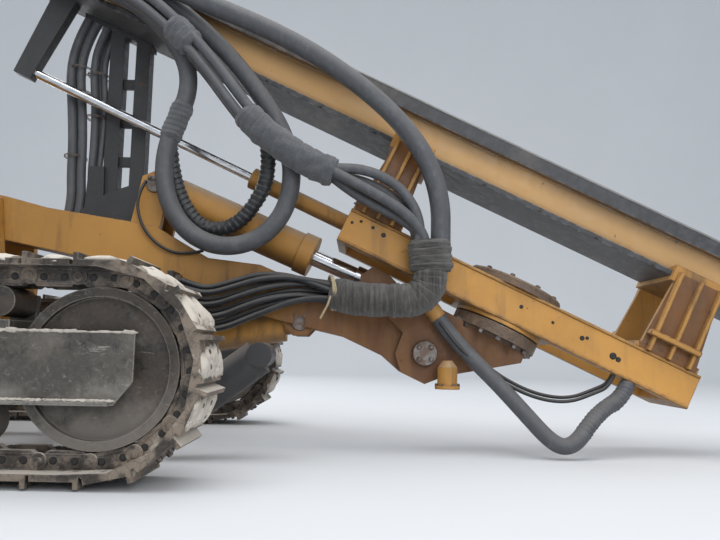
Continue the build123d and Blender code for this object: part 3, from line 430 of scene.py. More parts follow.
def piece(name, bm, look, bodies, sharp=35.0):
    """The mesh as a piece with that finish, riding on its body; given two bodies, it rides on neither."""
    bmesh.ops.recalc_face_normals(bm, faces=bm.faces)
    mesh = bpy.data.meshes.new(name)
    bm.to_mesh(mesh)
    bm.free()
    mesh.polygons.foreach_set("use_smooth", [True] * len(mesh.polygons))
    mesh.set_sharp_from_angle(angle=radians(sharp))
    mesh.materials.append(finish(look))
    obj = link(bpy.data.objects.new(name, mesh))
    if len(bodies) == 2:
        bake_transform(obj)
    else:
        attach(obj, bodies[0])
    return obj


def turned_to(axis, place, spin=0.0):
    """The matrix that stands a shape's z along axis at place."""
    turn = axis.normalized().to_track_quat("Z", "Y").to_matrix().to_4x4()
    return Matrix.Translation(place) @ turn @ Matrix.Rotation(spin, 4, "Z")


def add_disc(bm, place, axis, radius, depth, sides=20, top=None):
    """A short cylinder or cone from place, along axis."""
    middle = place + axis.normalized() * depth / 2
    bmesh.ops.create_cone(bm, cap_ends=True, segments=sides, radius1=radius,
                          radius2=radius if top is None else top, depth=depth, matrix=turned_to(axis, middle))


def add_bolt(bm, place, axis, across, spin=0.0):
    """A washer and a chamfered hexagon head."""
    axis = axis.normalized()
    add_disc(bm, place, axis, across * 0.66, across * 0.12, 16)
    middle = place + axis * across * 0.40
    bmesh.ops.create_cone(bm, cap_ends=True, segments=6, radius1=across * 0.56, radius2=across * 0.56,
                          depth=across * 0.56, matrix=turned_to(axis, middle, spin))
    add_disc(bm, place + axis * across * 0.68, axis, across * 0.46, across * 0.10, 12, across * 0.34)


def add_block(bm, place, size, axes=None, bevel=0.0):
    """A box with chamfered edges; axes are its own x, y and z directions."""
    turn = Matrix.Identity(4) if axes is None else Matrix(axes).transposed().to_4x4()
    matrix = Matrix.Translation(place) @ turn @ Matrix.Diagonal((*size, 1))
    made = bmesh.ops.create_cube(bm, size=1.0, matrix=matrix)
    if bevel:
        edges = list(dict.fromkeys(e for v in made["verts"] for e in v.link_edges))
        bmesh.ops.bevel(bm, geom=edges, offset=bevel, segments=2, affect="EDGES")


def add_ring(bm, place, axis, radius, wire, sides=28, around=8):
    """A round wire closed into a ring."""
    matrix = turned_to(axis, place)
    rows = []
    for k in range(sides):
        a = 2 * pi * k / sides
        row = []
        for n in range(around):
            b = 2 * pi * n / around
            reach = radius + wire * cos(b)
            row.append(bm.verts.new(matrix @ Vector((reach * cos(a), reach * sin(a), wire * sin(b)))))
        rows.append(row)
    join_rows(bm, rows + rows[:1])


def join_rows(bm, rows, caps=False):
    """Faces between rings of vertices."""
    for one, two in zip(rows, rows[1:]):
        count = len(one)
        for k in range(count):
            bm.faces.new((one[k], one[(k + 1) % count], two[(k + 1) % count], two[k]))
    if caps:
        bm.faces.new(rows[0][::-1])
        bm.faces.new(rows[-1])


def evenly(points, step):
    """The line through points, divided into equal steps."""
    lengths = [0.0]
    for one, two in zip(points, points[1:]):
        lengths.append(lengths[-1] + (two - one).length)
    count = max(2, round(lengths[-1] / step))
    out, k = [], 0
    for n in range(count + 1):
        want = lengths[-1] * n / count
        while k < len(points) - 2 and lengths[k + 1] < want:
            k += 1
        part = (want - lengths[k]) / max(lengths[k + 1] - lengths[k], 1e-9)
        out.append(points[k].lerp(points[k + 1], min(max(part, 0.0), 1.0)))
    return out


def across(points):
    """For each point: the heading, the direction towards the rig's right, and the one square to both."""
    out = []
    for k in range(len(points)):
        heading = (points[min(k + 1, len(points) - 1)] - points[max(k - 1, 0)]).normalized()
        side = (right - heading * right.dot(heading)).normalized()
        out.append((heading, side, side.cross(heading)))
    return out


def add_tube(bm, points, radius, sides=12):
    """A tube along points; radius is a number or a function of the share of the length and the angle."""
    rows = []
    last = len(points) - 1
    for k, (point, (_, side, out)) in enumerate(zip(points, across(points))):
        row = []
        for turn, spoke in spokes(sides, side, out):
            reach = radius(k / last, turn) if callable(radius) else radius
            row.append(bm.verts.new(point + spoke * reach))
        rows.append(row)
    join_rows(bm, rows, caps=True)


# Hose lines


def smooth_line(name, points, diameter=0.0):
    """A curve object along the route: an order-3 spline that starts and ends on its first and last points."""
    curve = bpy.data.curves.new(name, "CURVE")
    curve.dimensions = "3D"
    spline = curve.splines.new("NURBS")
    spline.points.add(len(points) - 1)
    for knot, point in zip(spline.points, points):
        knot.co = (*point, 1.0)
    spline.order_u = 3
    spline.use_endpoint_u = True
    spline.resolution_u = 6
    curve.bevel_depth = diameter / 2
    curve.bevel_resolution = 4
    curve.use_fill_caps = True
    return link(bpy.data.objects.new(name, curve))


def read_line(points):
    """Points along the route's spline."""
    guide = smooth_line("guide", points)
    mesh = bpy.data.meshes.new_from_object(guide)
    line = [v.co.copy() for v in mesh.vertices]
    bpy.data.objects.remove(guide)
    bpy.data.meshes.remove(mesh)
    return line


def off_plate(out, y, height):
    """A point straight out of the mast's hose plate."""
    return on_mast(hose_plate_place + out, y, height)


# each route: its points from fitting to fitting
boom_route = (
    at(0.010, -0.200, 0.560), at(0.105, -0.200, 0.560), at(0.205, -0.200, 0.594), at(0.300, -0.200, 0.660),
    at(0.400, -0.200, 0.700), at(0.510, -0.200, 0.716), at(0.620, -0.202, 0.708), at(0.720, -0.212, 0.688),
    at(0.800, -0.236, 0.664), at(0.880, -0.266, 0.657), at(0.965, -0.266, 0.657),
)
sleeve_route = (
    at(1.015, -0.266, 0.657), at(1.060, -0.266, 0.657), at(1.110, -0.266, 0.685), at(1.140, -0.266, 0.735),
    at(1.140, -0.266, 0.795),
)
mast_route = (
    at(1.098, -0.266, 0.850), at(1.098, -0.266, 0.910), at(1.078, -0.274, 0.980), at(1.026, -0.286, 1.050),
    at(0.940, -0.294, 1.118), at(0.820, -0.298, 1.175), at(0.690, -0.300, 1.215), at(0.570, -0.300, 1.268),
    at(0.450, -0.300, 1.348), at(0.340, -0.300, 1.436), at(0.240, -0.300, 1.560), at(0.150, -0.300, 1.680),
    at(0.050, -0.300, 1.795), at(-0.060, -0.300, 1.900), at(-0.170, -0.300, 1.990),
    off_plate(0.110, -0.300, 0.590), off_plate(0.0, -0.300, 0.590),
)
air_route = (
    at(1.183, -0.266, 0.850), at(1.183, -0.266, 0.940), at(1.182, -0.278, 1.075), at(1.150, -0.286, 1.210),
    at(1.085, -0.292, 1.340), at(0.985, -0.295, 1.465), at(0.860, -0.298, 1.580), at(0.720, -0.299, 1.685),
    at(0.570, -0.300, 1.780), at(0.410, -0.300, 1.862), at(0.250, -0.300, 1.932), at(0.100, -0.300, 1.990),
    at(-0.060, -0.300, 2.062), off_plate(0.140, -0.300, 0.690), off_plate(0.0, -0.300, 0.690),
)
loop_route = (
    off_plate(0.0, -0.215, 0.585), off_plate(0.100, -0.215, 0.585), at(-0.195, -0.215, 1.992),
    at(-0.110, -0.216, 1.915), at(-0.035, -0.217, 1.825), at(0.020, -0.217, 1.720), at(0.030, -0.217, 1.600),
    at(-0.010, -0.217, 1.480), at(-0.058, -0.217, 1.345), at(-0.068, -0.217, 1.205),
    at(-0.035, -0.217, 1.070), at(0.040, -0.217, 0.960), at(0.150, -0.217, 0.896), at(0.270, -0.217, 0.886),
    at(0.385, -0.217, 0.930), at(0.470, -0.217, 1.020), at(0.512, -0.217, 1.140), at(0.512, -0.217, 1.270),
    at(0.475, -0.217, 1.400), at(0.405, -0.217, 1.525), at(0.320, -0.217, 1.640), at(0.235, -0.217, 1.745),
    at(0.145, -0.217, 1.840), at(0.045, -0.217, 1.930), at(-0.055, -0.216, 2.010), at(-0.150, -0.216, 2.088),
    off_plate(0.100, -0.215, 0.690), off_plate(0.0, -0.215, 0.690),
)
lower_route = (
    at(1.187, -0.158, 0.589), at(1.240, -0.158, 0.516), at(1.330, -0.182, 0.415), at(1.440, -0.225, 0.305),
    at(1.555, -0.268, 0.175), at(1.640, -0.288, 0.080), at(1.705, -0.292, 0.043), at(1.765, -0.284, 0.066),
    at(1.832, -0.255, 0.145), at(1.905, -0.215, 0.205), on_mast(0.600, -0.176, -0.085),
    on_mast(0.600, -0.176, 0.0),
)
rest_route = (
    at(-0.520, 0.095, 2.0524), at(-0.5686, 0.095, 1.9482), at(-0.592, 0.098, 1.800), at(-0.570, 0.093, 1.620),
    at(-0.562, 0.095, 1.430), at(-0.566, 0.098, 1.270), at(-0.554, 0.095, 1.1506), at(-0.568, 0.095, 1.0566),
)
spiral_route = (
    at(-0.055, -0.217, 1.420), at(-0.045, -0.190, 1.300), at(-0.020, -0.170, 1.170), at(0.030, -0.165, 1.060),
    at(0.100, -0.160, 0.985), at(0.190, -0.160, 0.968), at(0.275, -0.165, 1.005), at(0.345, -0.175, 1.090),
    at(0.395, -0.185, 1.190), at(0.405, -0.200, 1.290), at(0.395, -0.240, 1.380), at(0.375, -0.285, 1.425),
)
lug_route = (
    at(-0.168, -0.139, 1.200), at(-0.205, -0.160, 1.120), at(-0.175, -0.160, 0.985),
    at(-0.089, -0.158, 0.890), at(0.020, -0.158, 0.850), at(0.114, -0.147, 0.876),
)
thin_route = (
    at(1.190, -0.198, 0.570), at(1.260, -0.205, 0.470), at(1.360, -0.210, 0.385), at(1.480, -0.210, 0.300),
    at(1.620, -0.200, 0.240), at(1.760, -0.190, 0.225), at(1.880, -0.180, 0.270),
    on_mast(0.530, -0.176, -0.060), on_mast(0.530, -0.176, 0.0),
)

# each strand: diameter, then how far it lies to the right of the route and over it, at the start, where the
# bundle has spread and at the end; over is up where the route runs forward, and forward where it runs down
boom_strands = (
    (0.030, (0.000, 0.180), (0.010, 0.072), (0.034, 0.000)),
    (0.027, (0.032, 0.150), (0.038, 0.046), (0.024, 0.026)),
    (0.032, (-0.012, 0.116), (-0.012, 0.020), (0.000, 0.036)),
    (0.026, (0.028, 0.084), (0.034, 0.000), (-0.024, 0.026)),
    (0.030, (-0.014, 0.050), (-0.010, -0.028), (-0.036, 0.000)),
    (0.028, (0.026, 0.018), (0.032, -0.050), (-0.024, -0.026)),
    (0.030, (-0.010, -0.014), (0.000, -0.078), (0.000, -0.036)),
    (0.026, (0.026, -0.042), (0.030, -0.104), (0.024, -0.026)),
)
mast_strands = (
    (0.046, (0.026, 0.026), (0.020, -0.066), (0.026, 0.026)),
    (0.050, (-0.026, 0.020), (-0.020, -0.016), (-0.026, 0.030)),
    (0.048, (0.030, -0.024), (0.030, 0.026), (0.030, -0.026)),
    (0.042, (-0.022, -0.030), (-0.016, 0.066), (-0.026, -0.030)),
)
rest_strands = (
    (0.046, (0.024, -0.050), (0.026, -0.052), (0.022, -0.040)),
    (0.042, (-0.022, -0.034), (-0.016, -0.036), (-0.020, -0.020)),
    (0.044, (0.024, 0.000), (0.026, -0.002), (0.024, 0.008)),
    (0.040, (0.026, 0.056), (0.024, 0.066), (0.020, 0.058)),
    (0.038, (-0.020, 0.064), (-0.012, 0.082), (-0.014, 0.066)),
    (0.030, (0.006, 0.100), (0.010, 0.112), (0.006, 0.086)),
)


def beside(route, start, spread, end, spread_share=0.35, gather_share=0.72):
    """The route's points moved sideways, by three offsets blended along it."""
    start, spread, end = Vector(start), Vector(spread), Vector(end)
    last = len(route) - 1
    out = []
    for k, (point, (_, side, over)) in enumerate(zip(route, across(route))):
        share = k / last
        if share < spread_share:
            one, two, part = start, spread, share / spread_share
        else:
            one, two, part = spread, end, min((share - spread_share) / (gather_share - spread_share), 1.0)
        shift = one.lerp(two, part * part * (3 - 2 * part))
        out.append(point + side * shift.x + over * shift.y)
    return out


def lay_hose(name, points, diameter, look, bodies, node=None):
    """A hose along the route, with that finish, riding on its body. With two bodies it is made a mesh that
    rides on neither.
    """
    hose = smooth_line(name, points, diameter)
    line = read_line(points)
    if len(bodies) == 2:
        mesh = bpy.data.meshes.new_from_object(hose)
        bpy.data.objects.remove(hose)
        mesh.polygons.foreach_set("use_smooth", [True] * len(mesh.polygons))
        hose = link(bpy.data.objects.new(name, mesh))
        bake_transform(hose)
    else:
        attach(hose, bodies[0])
    hose.data.materials.clear()
    hose.data.materials.append(finish(look))
    if node:
        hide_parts(node)
    return hose


def ribbed(size, pitch, rib, lump, seed, length):
    """The radius of a wound sleeve: laps of that pitch that climb like a thread, rib high, and lumps."""
    lap_edge, end_taper = 0.82, 0.02

    def radius(share, angle):
        turn = (share * length / pitch + angle / (2 * pi)) % 1.0
        lap = rib * (0.35 + 0.65 * turn) if turn < lap_edge else rib * (1.0 - turn) / (1.0 - lap_edge)
        ends = min(1.0, min(share, 1.0 - share) * length / end_taper)
        rough = noise.noise(Vector((share * length * 22.0 + seed, 2.0 * cos(angle), 2.0 * sin(angle))))
        return size * (0.86 + 0.14 * ends) + lap + lump * rough
    return radius


def length_of(line):
    """The length of the line through those points."""
    return sum((two - one).length for one, two in zip(line, line[1:]))


def stretch_of(line, first, last):
    """The part of the line between the points nearest to first and last."""
    a = min(range(len(line)), key=lambda k: (line[k] - first).length)
    b = min(range(len(line)), key=lambda k: (line[k] - last).length)
    return line[min(a, b):max(a, b) + 1]


# Track path


shoe_thickness = 0.012
grouser_height = 0.022
shoe_seat = axle_z - shoe_thickness - grouser_height
shoe_count = 37
shoe_pitch = 2 * (wheel_base + pi * shoe_seat) / shoe_count


def track_point(distance):
    """The place and outward direction of the shoes' seat, that far round the loop, in the x-z plane."""
    arc = pi * shoe_seat
    distance %= 2 * (wheel_base + arc)
    if distance < wheel_base:
        return -wheel_base + distance, axle_z - shoe_seat, 0.0
    distance -= wheel_base
    if distance < arc:
        turn = distance / shoe_seat
        return shoe_seat * sin(turn), axle_z - shoe_seat * cos(turn), turn
    distance -= arc
    if distance < wheel_base:
        return -distance, axle_z + shoe_seat, pi
    turn = (distance - wheel_base) / shoe_seat + pi
    return -wheel_base + shoe_seat * sin(turn), axle_z - shoe_seat * cos(turn), turn


def shoe_frame(distance, y):
    """The seat's point, its heading and its outward direction."""
    x, z, turn = track_point(distance)
    return at(x, y, z), Vector((cos(turn), 0, sin(turn))), Vector((sin(turn), 0, -cos(turn)))


def add_lump(bm, place, axes, size, seed, rough=0.35):
    """A knobbly lump of clay."""
    turn = Matrix(axes).transposed().to_4x4()
    made = bmesh.ops.create_icosphere(bm, subdivisions=2, radius=1.0)
    for v in made["verts"]:
        swell = 1.0 + rough * noise.noise(v.co * 1.7 + Vector((seed, seed * 0.7, 0)))
        swell += rough * 0.5 * noise.noise(v.co * 4.3 + Vector((0, seed, seed)))
        v.co = Vector((v.co.x * size[0], v.co.y * size[1], v.co.z * size[2])) * swell
        v.co = turn.to_3x3() @ v.co + place


# Sizes and colours


class RigSizes(bpy.types.PropertyGroup):
    """Sizes of the fittings and hoses."""

    air_hose: bpy.props.FloatProperty(
        name="Air hose", description="Outer diameter of the big air hose", default=0.088, min=0.05, max=0.12,
        unit="LENGTH")
    loop_hose: bpy.props.FloatProperty(
        name="Loop hose", description="Outer diameter of the hose that hangs in a ring", default=0.084,
        min=0.04, max=0.12, unit="LENGTH")
    sleeve: bpy.props.FloatProperty(
        name="Sleeve", description="Radius of the wound sleeve round the hoses", default=0.070, min=0.062,
        max=0.08, unit="LENGTH")
    bolt: bpy.props.FloatProperty(
        name="Bolt head", description="Width across flats of the bracket bolts", default=0.030, min=0.012,
        max=0.05, unit="LENGTH")
    clay: bpy.props.FloatProperty(
        name="Clay", description="Thickness of the clay left on the shoes", default=0.020, min=0.0, max=0.03,
        unit="LENGTH")


class RigColours(bpy.types.PropertyGroup):
    """Base colours of the finishes."""

    yellow: bpy.props.FloatVectorProperty(
        name="Yellow paint", description="Boom, frames and brackets", default=(0.56, 0.275, 0.055),
        subtype="COLOR")
    mast: bpy.props.FloatVectorProperty(
        name="Mast paint", description="Sun-faded web of the mast", default=(0.56, 0.33, 0.13),
        subtype="COLOR")
    dark: bpy.props.FloatVectorProperty(
        name="Dark paint", description="Greased rails and dark parts", default=(0.035, 0.035, 0.037),
        subtype="COLOR")
    grey: bpy.props.FloatVectorProperty(
        name="Grey paint", description="Tanks and console", default=(0.33, 0.335, 0.33), subtype="COLOR")
    clay: bpy.props.FloatVectorProperty(
        name="Dried clay", description="Pale clay on the tracks", default=(0.60, 0.545, 0.47),
        subtype="COLOR")
    rubber: bpy.props.FloatVectorProperty(
        name="Rubber", description="Cover of the black hoses", default=(0.017, 0.018, 0.020), subtype="COLOR")
    grey_rubber: bpy.props.FloatVectorProperty(
        name="Grey rubber", description="Cover of the big weathered hoses", default=(0.072, 0.075, 0.082),
        subtype="COLOR")
    wrap: bpy.props.FloatVectorProperty(
        name="Wrap", description="Tape and clamps on the hoses", default=(0.074, 0.078, 0.086),
        subtype="COLOR")


def rgba(colour):
    """The colour with full alpha."""
    return (*colour, 1.0)


made_finishes = {}


def finish(name):
    """The finish of that name, made the first time it is asked for."""
    if name in made_finishes:
        return made_finishes[name]
    c = bpy.context.scene.rig_colours
    clay, dust = rgba(c.clay), (0.40, 0.34, 0.27, 1)
    rust, dirt_and_shade = (0.13, 0.055, 0.022, 1), (0.075, 0.045, 0.025, 1)
    makers = {
        "yellow": lambda: site_paint("yellow paint", rgba(c.yellow), dirt_and_shade, dust, rust),
        "yellow_dirty": lambda: site_paint("muddy yellow paint", shade(c.yellow, 0.85), dirt_and_shade, dust, rust, 0.9,
                                           0.75),
        "mast": lambda: mast_paint("mast paint", rgba(c.mast), rgba(c.dark), (0.45, 0.38, 0.30, 1)),
        "dark": lambda: site_paint("dark paint", rgba(c.dark), (0.02, 0.018, 0.016, 1), (0.22, 0.19, 0.16, 1),
                                   (0.10, 0.06, 0.035, 1), 0.7),
        "grey": lambda: site_paint("grey paint", rgba(c.grey), (0.10, 0.085, 0.07, 1), dust, rust, 0.3),
        "track": lambda: caked_steel("clay-caked track steel", (0.038, 0.031, 0.025, 1),
                                     (0.185, 0.150, 0.118, 1), clay, 0.16),
        "wheel": lambda: worn_plate("muddy wheel steel", (0.042, 0.035, 0.028, 1), (0.072, 0.053, 0.039, 1),
                                    (0.27, 0.245, 0.215, 1), 0.20),
        # near-black painted shade for the holes in the track links and the sliding frame
        "painted_shade": lambda: site_paint("near-black painted hole shade", (0.012, 0.010, 0.009, 1), (0.01, 0.008, 0.007, 1),
                                   (0.05, 0.042, 0.036, 1), (0.03, 0.02, 0.014, 1), 0.2),
        "spiral": lambda: hose_rubber("spiral guard", shade(rgba(c.rubber), 1.4), (0.13, 0.125, 0.12, 1),
                                      0.42),
        "bright": lambda: bare_metal("rubbed bare steel", (0.26, 0.255, 0.245, 1), 0.45, 0.65, rust, 0.2,
                                     0.6),
        # the boom's paint: darker yellow that browns along x, partly dirt and partly painted shade
        "boom": lambda: site_paint("dirty and shade-darkened yellow paint", shade(c.yellow, 0.80), dirt_and_shade, dust, rust, 0.8, 0.62,
                                   (-0.25, 0.68, 0.93)),
        "plate": lambda: worn_plate("scoured plate", (0.070, 0.063, 0.054, 1), (0.118, 0.102, 0.084, 1),
                                    (0.34, 0.32, 0.285, 1), 0.26),
        "mud": lambda: caked_steel("brown mud", (0.085, 0.055, 0.036, 1), (0.150, 0.100, 0.066, 1),
                                   (0.30, 0.225, 0.16, 1), 0.12, 0.0),
        "rusty": lambda: caked_steel("rusted steel", (0.060, 0.034, 0.022, 1), (0.115, 0.062, 0.034, 1),
                                     (0.20, 0.14, 0.095, 1), 0.0, 0.1),
        "clay": lambda: caked_steel("dried clay", shade(clay, 0.72), shade(clay, 0.82), clay, 0.32, 0.0),
        "rubber": lambda: hose_rubber("black hose rubber", rgba(c.rubber), (0.16, 0.145, 0.13, 1), 0.30),
        "grey_rubber": lambda: hose_rubber("weathered hose rubber", rgba(c.grey_rubber),
                                           (0.19, 0.18, 0.17, 1), 0.5, 0.5),
        "wrap": lambda: wrap_cloth("woven hose wrap", rgba(c.wrap), (0.17, 0.165, 0.16, 1)),
        "muddy_wrap": lambda: wrap_cloth("muddy hose wrap", (0.052, 0.047, 0.041, 1),
                                         (0.155, 0.142, 0.124, 1), (4.5, 0.6, 0.4)),
        "riser_wrap": lambda: wrap_cloth("muddy riser wrap", (0.056, 0.052, 0.047, 1),
                                         (0.155, 0.144, 0.128, 1), (0.5, 0.5, 3.6)),
        # painted shade for the hollows between the guide brackets' ribs
        "hollow": lambda: site_paint("shadowed hollow paint", (0.20, 0.082, 0.020, 1), dirt_and_shade,
                                     (0.20, 0.13, 0.08, 1), rust, 0.8, 0.6),
        "twine": lambda: wrap_cloth("straw-coloured tie", (0.42, 0.33, 0.18, 1), (0.4, 0.35, 0.27, 1)),
        "chrome": lambda: bare_metal("chromed rod", (0.72, 0.73, 0.75, 1), 0.10, 0.28, (0.16, 0.10, 0.06, 1),
                                     0.12, 1.0),
        "steel": lambda: bare_metal("worn bare steel", (0.22, 0.20, 0.185, 1), 0.35, 0.6, rust, 0.55),
        "deck": lambda: plate_tread("floor plate", (0.13, 0.125, 0.12, 1), dust),
        "iron": lambda: bare_metal("cast engine iron", (0.09, 0.085, 0.08, 1), 0.5, 0.75, rust, 0.4, 0.5),
    }
    made_finishes[name] = makers[name]()
    return made_finishes[name]


# Operators


chassis_nodes = {
    "yellow": ("centre_frame", "swing_cylinder_seat", "hood_front", "hood_rear", "hood_sill_right",
               "hood_sill_left", "hood_door_right", "hood_door_left", "hood_roof"),
    "grey": ("fuel_tank", "oil_tank", "console"),
    "deck": ("deck",),
    "iron": ("engine",),
    "dark": ("exhaust", "support_leg"),
    "track": ("track_chain_right", "track_chain_left"),
    "wheel": ("idler_right", "idler_left", "sprocket_right", "sprocket_left", "rollers_right",
              "rollers_left"),
    "plate": ("track_frame_right", "track_frame_left"),
}
arm_nodes = {
    "yellow": ("slide_frame", "mast_table"),
    "boom": ("boom", "swing_bracket", "tilt_head"),
    "yellow_dirty": ("guide_bracket_rear", "guide_bracket_front", "lift_barrel",
                     "pitch_barrel", "swing_barrel", "carriage", "slide_barrel"),
    "dark": ("mast_rest", "hose_plate_boom", "hose_plate_mast", "feed_motor", "rotary_motors"),
    "mast": ("mast",),
    "steel": ("feed_chain", "mast_foot_plate", "spindle"),
    "chrome": ("lift_rod", "pitch_rod", "swing_rod", "slide_rod"),
    "wrap": ("hose_clamp_tilt", "hose_clamp_frame"),
}

# faces that take a second finish: node, finish, lowest and highest height on the sliding frame, the nearest
# and farthest from the turntable's axis, and the least and most off the middle plane
far = 9.0
second_finishes = (
    ("slide_rod", "dark", -far, far, 2.53, far, 0.0, far),
    ("slide_frame", "mud", 0.163, 0.30, 0.0, 0.235, 0.0, far),
    ("tilt_head", "mud", -0.085, 0.010, 0.0, 0.245, 0.0, far),
    # the guide brackets' side faces between the ribs take painted shade
    ("guide_bracket_rear", "hollow", 0.17, 0.50, 0.0, far, 0.196, 0.204),
    ("guide_bracket_front", "hollow", 0.17, 0.50, 0.0, far, 0.196, 0.204),
)


class RIG_OT_finish_solids(bpy.types.Operator):
    """Give every solid of the rig its finish"""

    bl_idname = "rig.finish_solids"
    bl_label = "Finish the solids"

    def execute(self, context):
        for table in (chassis_nodes, arm_nodes):
            for name, nodes in table.items():
                for node in nodes:
                    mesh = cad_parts[node].data
                    mesh.materials.clear()
                    mesh.materials.append(finish(name))
                    mesh.polygons.foreach_set("material_index", [0] * len(mesh.polygons))
        for node, name, low, high, near, outer, least, most in second_finishes:
            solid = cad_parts[node]
            solid.data.materials.append(finish(name))
            flags = []
            for face in solid.data.polygons:
                place = solid.matrix_world @ face.center - on_mast(0, 0, 0)
                aside = Vector((place.dot(mast_along), place.y)).length
                flags.append(int(low < place.dot(mast_up) < high and near <= aside < outer
                                 and least <= abs(place.y) < most))
            solid.data.polygons.foreach_set("material_index", flags)
        return {"FINISHED"}


def lay_bundle(name, strands, route, look, bodies, node, *shares):
    """The strands of a bundle, each beside the same route."""
    for k, (diameter, start, spread, end) in enumerate(strands):
        points = beside(route, start, spread, end, *shares)
        lay_hose(f"{name}_{k + 1}", points, diameter, look, bodies, node)


class RIG_OT_boom_hoses(bpy.types.Operator):
    """Lay the black hoses along the boom"""

    bl_idname = "rig.boom_hoses"
    bl_label = "Boom hoses"

    def execute(self, context):
        lay_bundle("boom_hose", boom_strands, boom_route, "rubber", ("boom",), "boom_hoses")
        return {"FINISHED"}


class RIG_OT_sleeve(bpy.types.Operator):
    """Wind the sleeve that gathers the boom's hoses and carries them up to the sliding frame"""

    bl_idname = "rig.sleeve"
    bl_label = "Wound sleeve"

    def execute(self, context):
        sleeve = context.scene.rig_sizes.sleeve
        core = 0.034
        for k in range(3):
            points = [p + sideways(core * (k - 1)) for p in sleeve_route]
            lay_hose(f"sleeve_hose_{k + 1}", points, core, "wrap", ("tilt_head",), "sleeve_hoses")
        boom_line = stretch_of(read_line(boom_route), at(0.705, -0.21, 0.69), at(0.955, -0.266, 0.657))
        elbow_line = [at(0.956, -0.266, 0.657)] + read_line(sleeve_route)
        riser_line = [at(1.140, -0.266, 0.786), at(1.139, -0.267, 0.850), at(1.134, -0.269, 0.925)]
        # each section: line, bodies and look, the pitch and height of its laps, and how much wider it is in x
        sections = (
            ("sleeve_on_boom", boom_line, ("boom",), "muddy_wrap", 0.018, 0.006, 1.0),
            ("sleeve_elbow", elbow_line, ("boom", "tilt_head"), "muddy_wrap", 0.030, 0.008, 1.0),
            ("sleeve_riser", riser_line, ("tilt_head", "slide_frame"), "riser_wrap", 0.034, 0.008, 1.28),
        )
        for name, points, bodies, look, pitch, rib, widen in sections:
            line = evenly(points, 0.004)
            bm = bmesh.new()
            add_tube(bm, line, ribbed(sleeve, pitch, rib, 0.006, len(name), length_of(line)), 40)
            for v in bm.verts:
                v.co.x = points[1].x + (v.co.x - points[1].x) * widen
            piece(name, bm, look, bodies, 60)
        bm = bmesh.new()
        mouth = boom_line[0]
        for shift, tilt in ((-0.004, 0.10), (0.004, 0.16)):
            add_ring(bm, mouth + forward * shift, Vector((1.0, 0.2, tilt)), sleeve + 0.006, 0.006)
        tail = [mouth + Vector(p) for p in ((-0.004, -0.074, -0.020), (-0.016, -0.082, -0.060),
                                            (-0.034, -0.080, -0.095), (-0.046, -0.072, -0.118))]
        add_tube(bm, evenly(tail, 0.008), 0.0045, 8)
        piece("bundle_tie", bm, "twine", ("boom",))
        return {"FINISHED"}


class RIG_OT_mast_hoses(bpy.types.Operator):
    """Lay the hoses that rise from the sliding frame to the mast, and the ring that hangs between them"""

    bl_idname = "rig.mast_hoses"
    bl_label = "Mast hoses"

    def execute(self, context):
        sizes = context.scene.rig_sizes
        rising, hanging = ("slide_frame", "mast"), ("mast", "slide_frame")
        rise_span = (mast_route[0], mast_route[-1])
        ring_span = (at(-0.170, -0.217, 2.050), at(0.200, -0.217, 0.900))
        lay_bundle("mast_hose", mast_strands, mast_route, "grey_rubber", rising, "mast_hoses", 0.28, 0.45)
        lay_hose("air_hose_line", air_route, sizes.air_hose, "grey_rubber", rising, "air_hose")
        ring = lay_hose("hanging_ring", loop_route, sizes.loop_hose, "grey_rubber", hanging, "loop_hose")
        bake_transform(ring)
        line = evenly(read_line(spiral_route), 0.004)
        bm = bmesh.new()
        add_tube(bm, line, ribbed(0.027, 0.026, 0.011, 0.003, 3.0, length_of(line)), 20)
        spiral = piece("spiral_hose", bm, "spiral", hanging, 60)
        bundle, ring_line = read_line(mast_route), read_line(loop_route)
        # each stretch of tape: the line it is wound on, from where to where, its bodies and the span between
        # them, and its radius, pitch, lap and lumps
        taped = (
            ("taped_bundle", bundle, at(0.705, -0.3, 1.215), at(0.300, -0.3, 1.480), rising, rise_span,
             (0.062, 0.058, 0.007, 0.007)),
            ("upper_tape", bundle, at(0.060, -0.3, 1.780), at(-0.040, -0.3, 1.880), rising, rise_span,
             (0.060, 0.036, 0.005, 0.005)),
            ("taped_ring_top", ring_line, at(-0.050, -0.217, 1.370), at(0.000, -0.217, 1.540), hanging,
             ring_span, (0.046, 0.024, 0.005, 0.006)),
        )
        for name, points, first, last, bodies, span, (size, pitch, rib, lump) in taped:
            line = evenly(stretch_of(points, first, last), 0.004)
            bm = bmesh.new()
            add_tube(bm, line, ribbed(size, pitch, rib, lump, len(name), length_of(line)), 36)
            piece(name, bm, "wrap", bodies, 60)
        return {"FINISHED"}


class RIG_OT_lower_hoses(bpy.types.Operator):
    """Lay the hose that falls to the ground under the sliding frame, and the two thin ones behind it"""

    bl_idname = "rig.lower_hoses"
    bl_label = "Lower hoses"

    def execute(self, context):
        bodies = ("tilt_head", "slide_frame")
        line = evenly(read_line(lower_route), 0.004)
        ribs = ribbed(0.031, 0.020, 0.006, 0.003, 5.0, length_of(line))
        ribs_from = 0.72
        bm = bmesh.new()
        add_tube(bm, line, lambda share, turn: 0.035 if share < ribs_from else ribs(share, turn), 24)
        lower = piece("lower_hose_line", bm, "grey_rubber", bodies, 60)
        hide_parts("lower_hose")
        for k, shift in enumerate((Vector((0, 0, 0)), Vector((0.01, 0.03, 0.016)))):
            lay_hose(f"thin_hose_{k + 1}", [p + shift for p in thin_route], 0.016, "rubber", bodies)
        return {"FINISHED"}


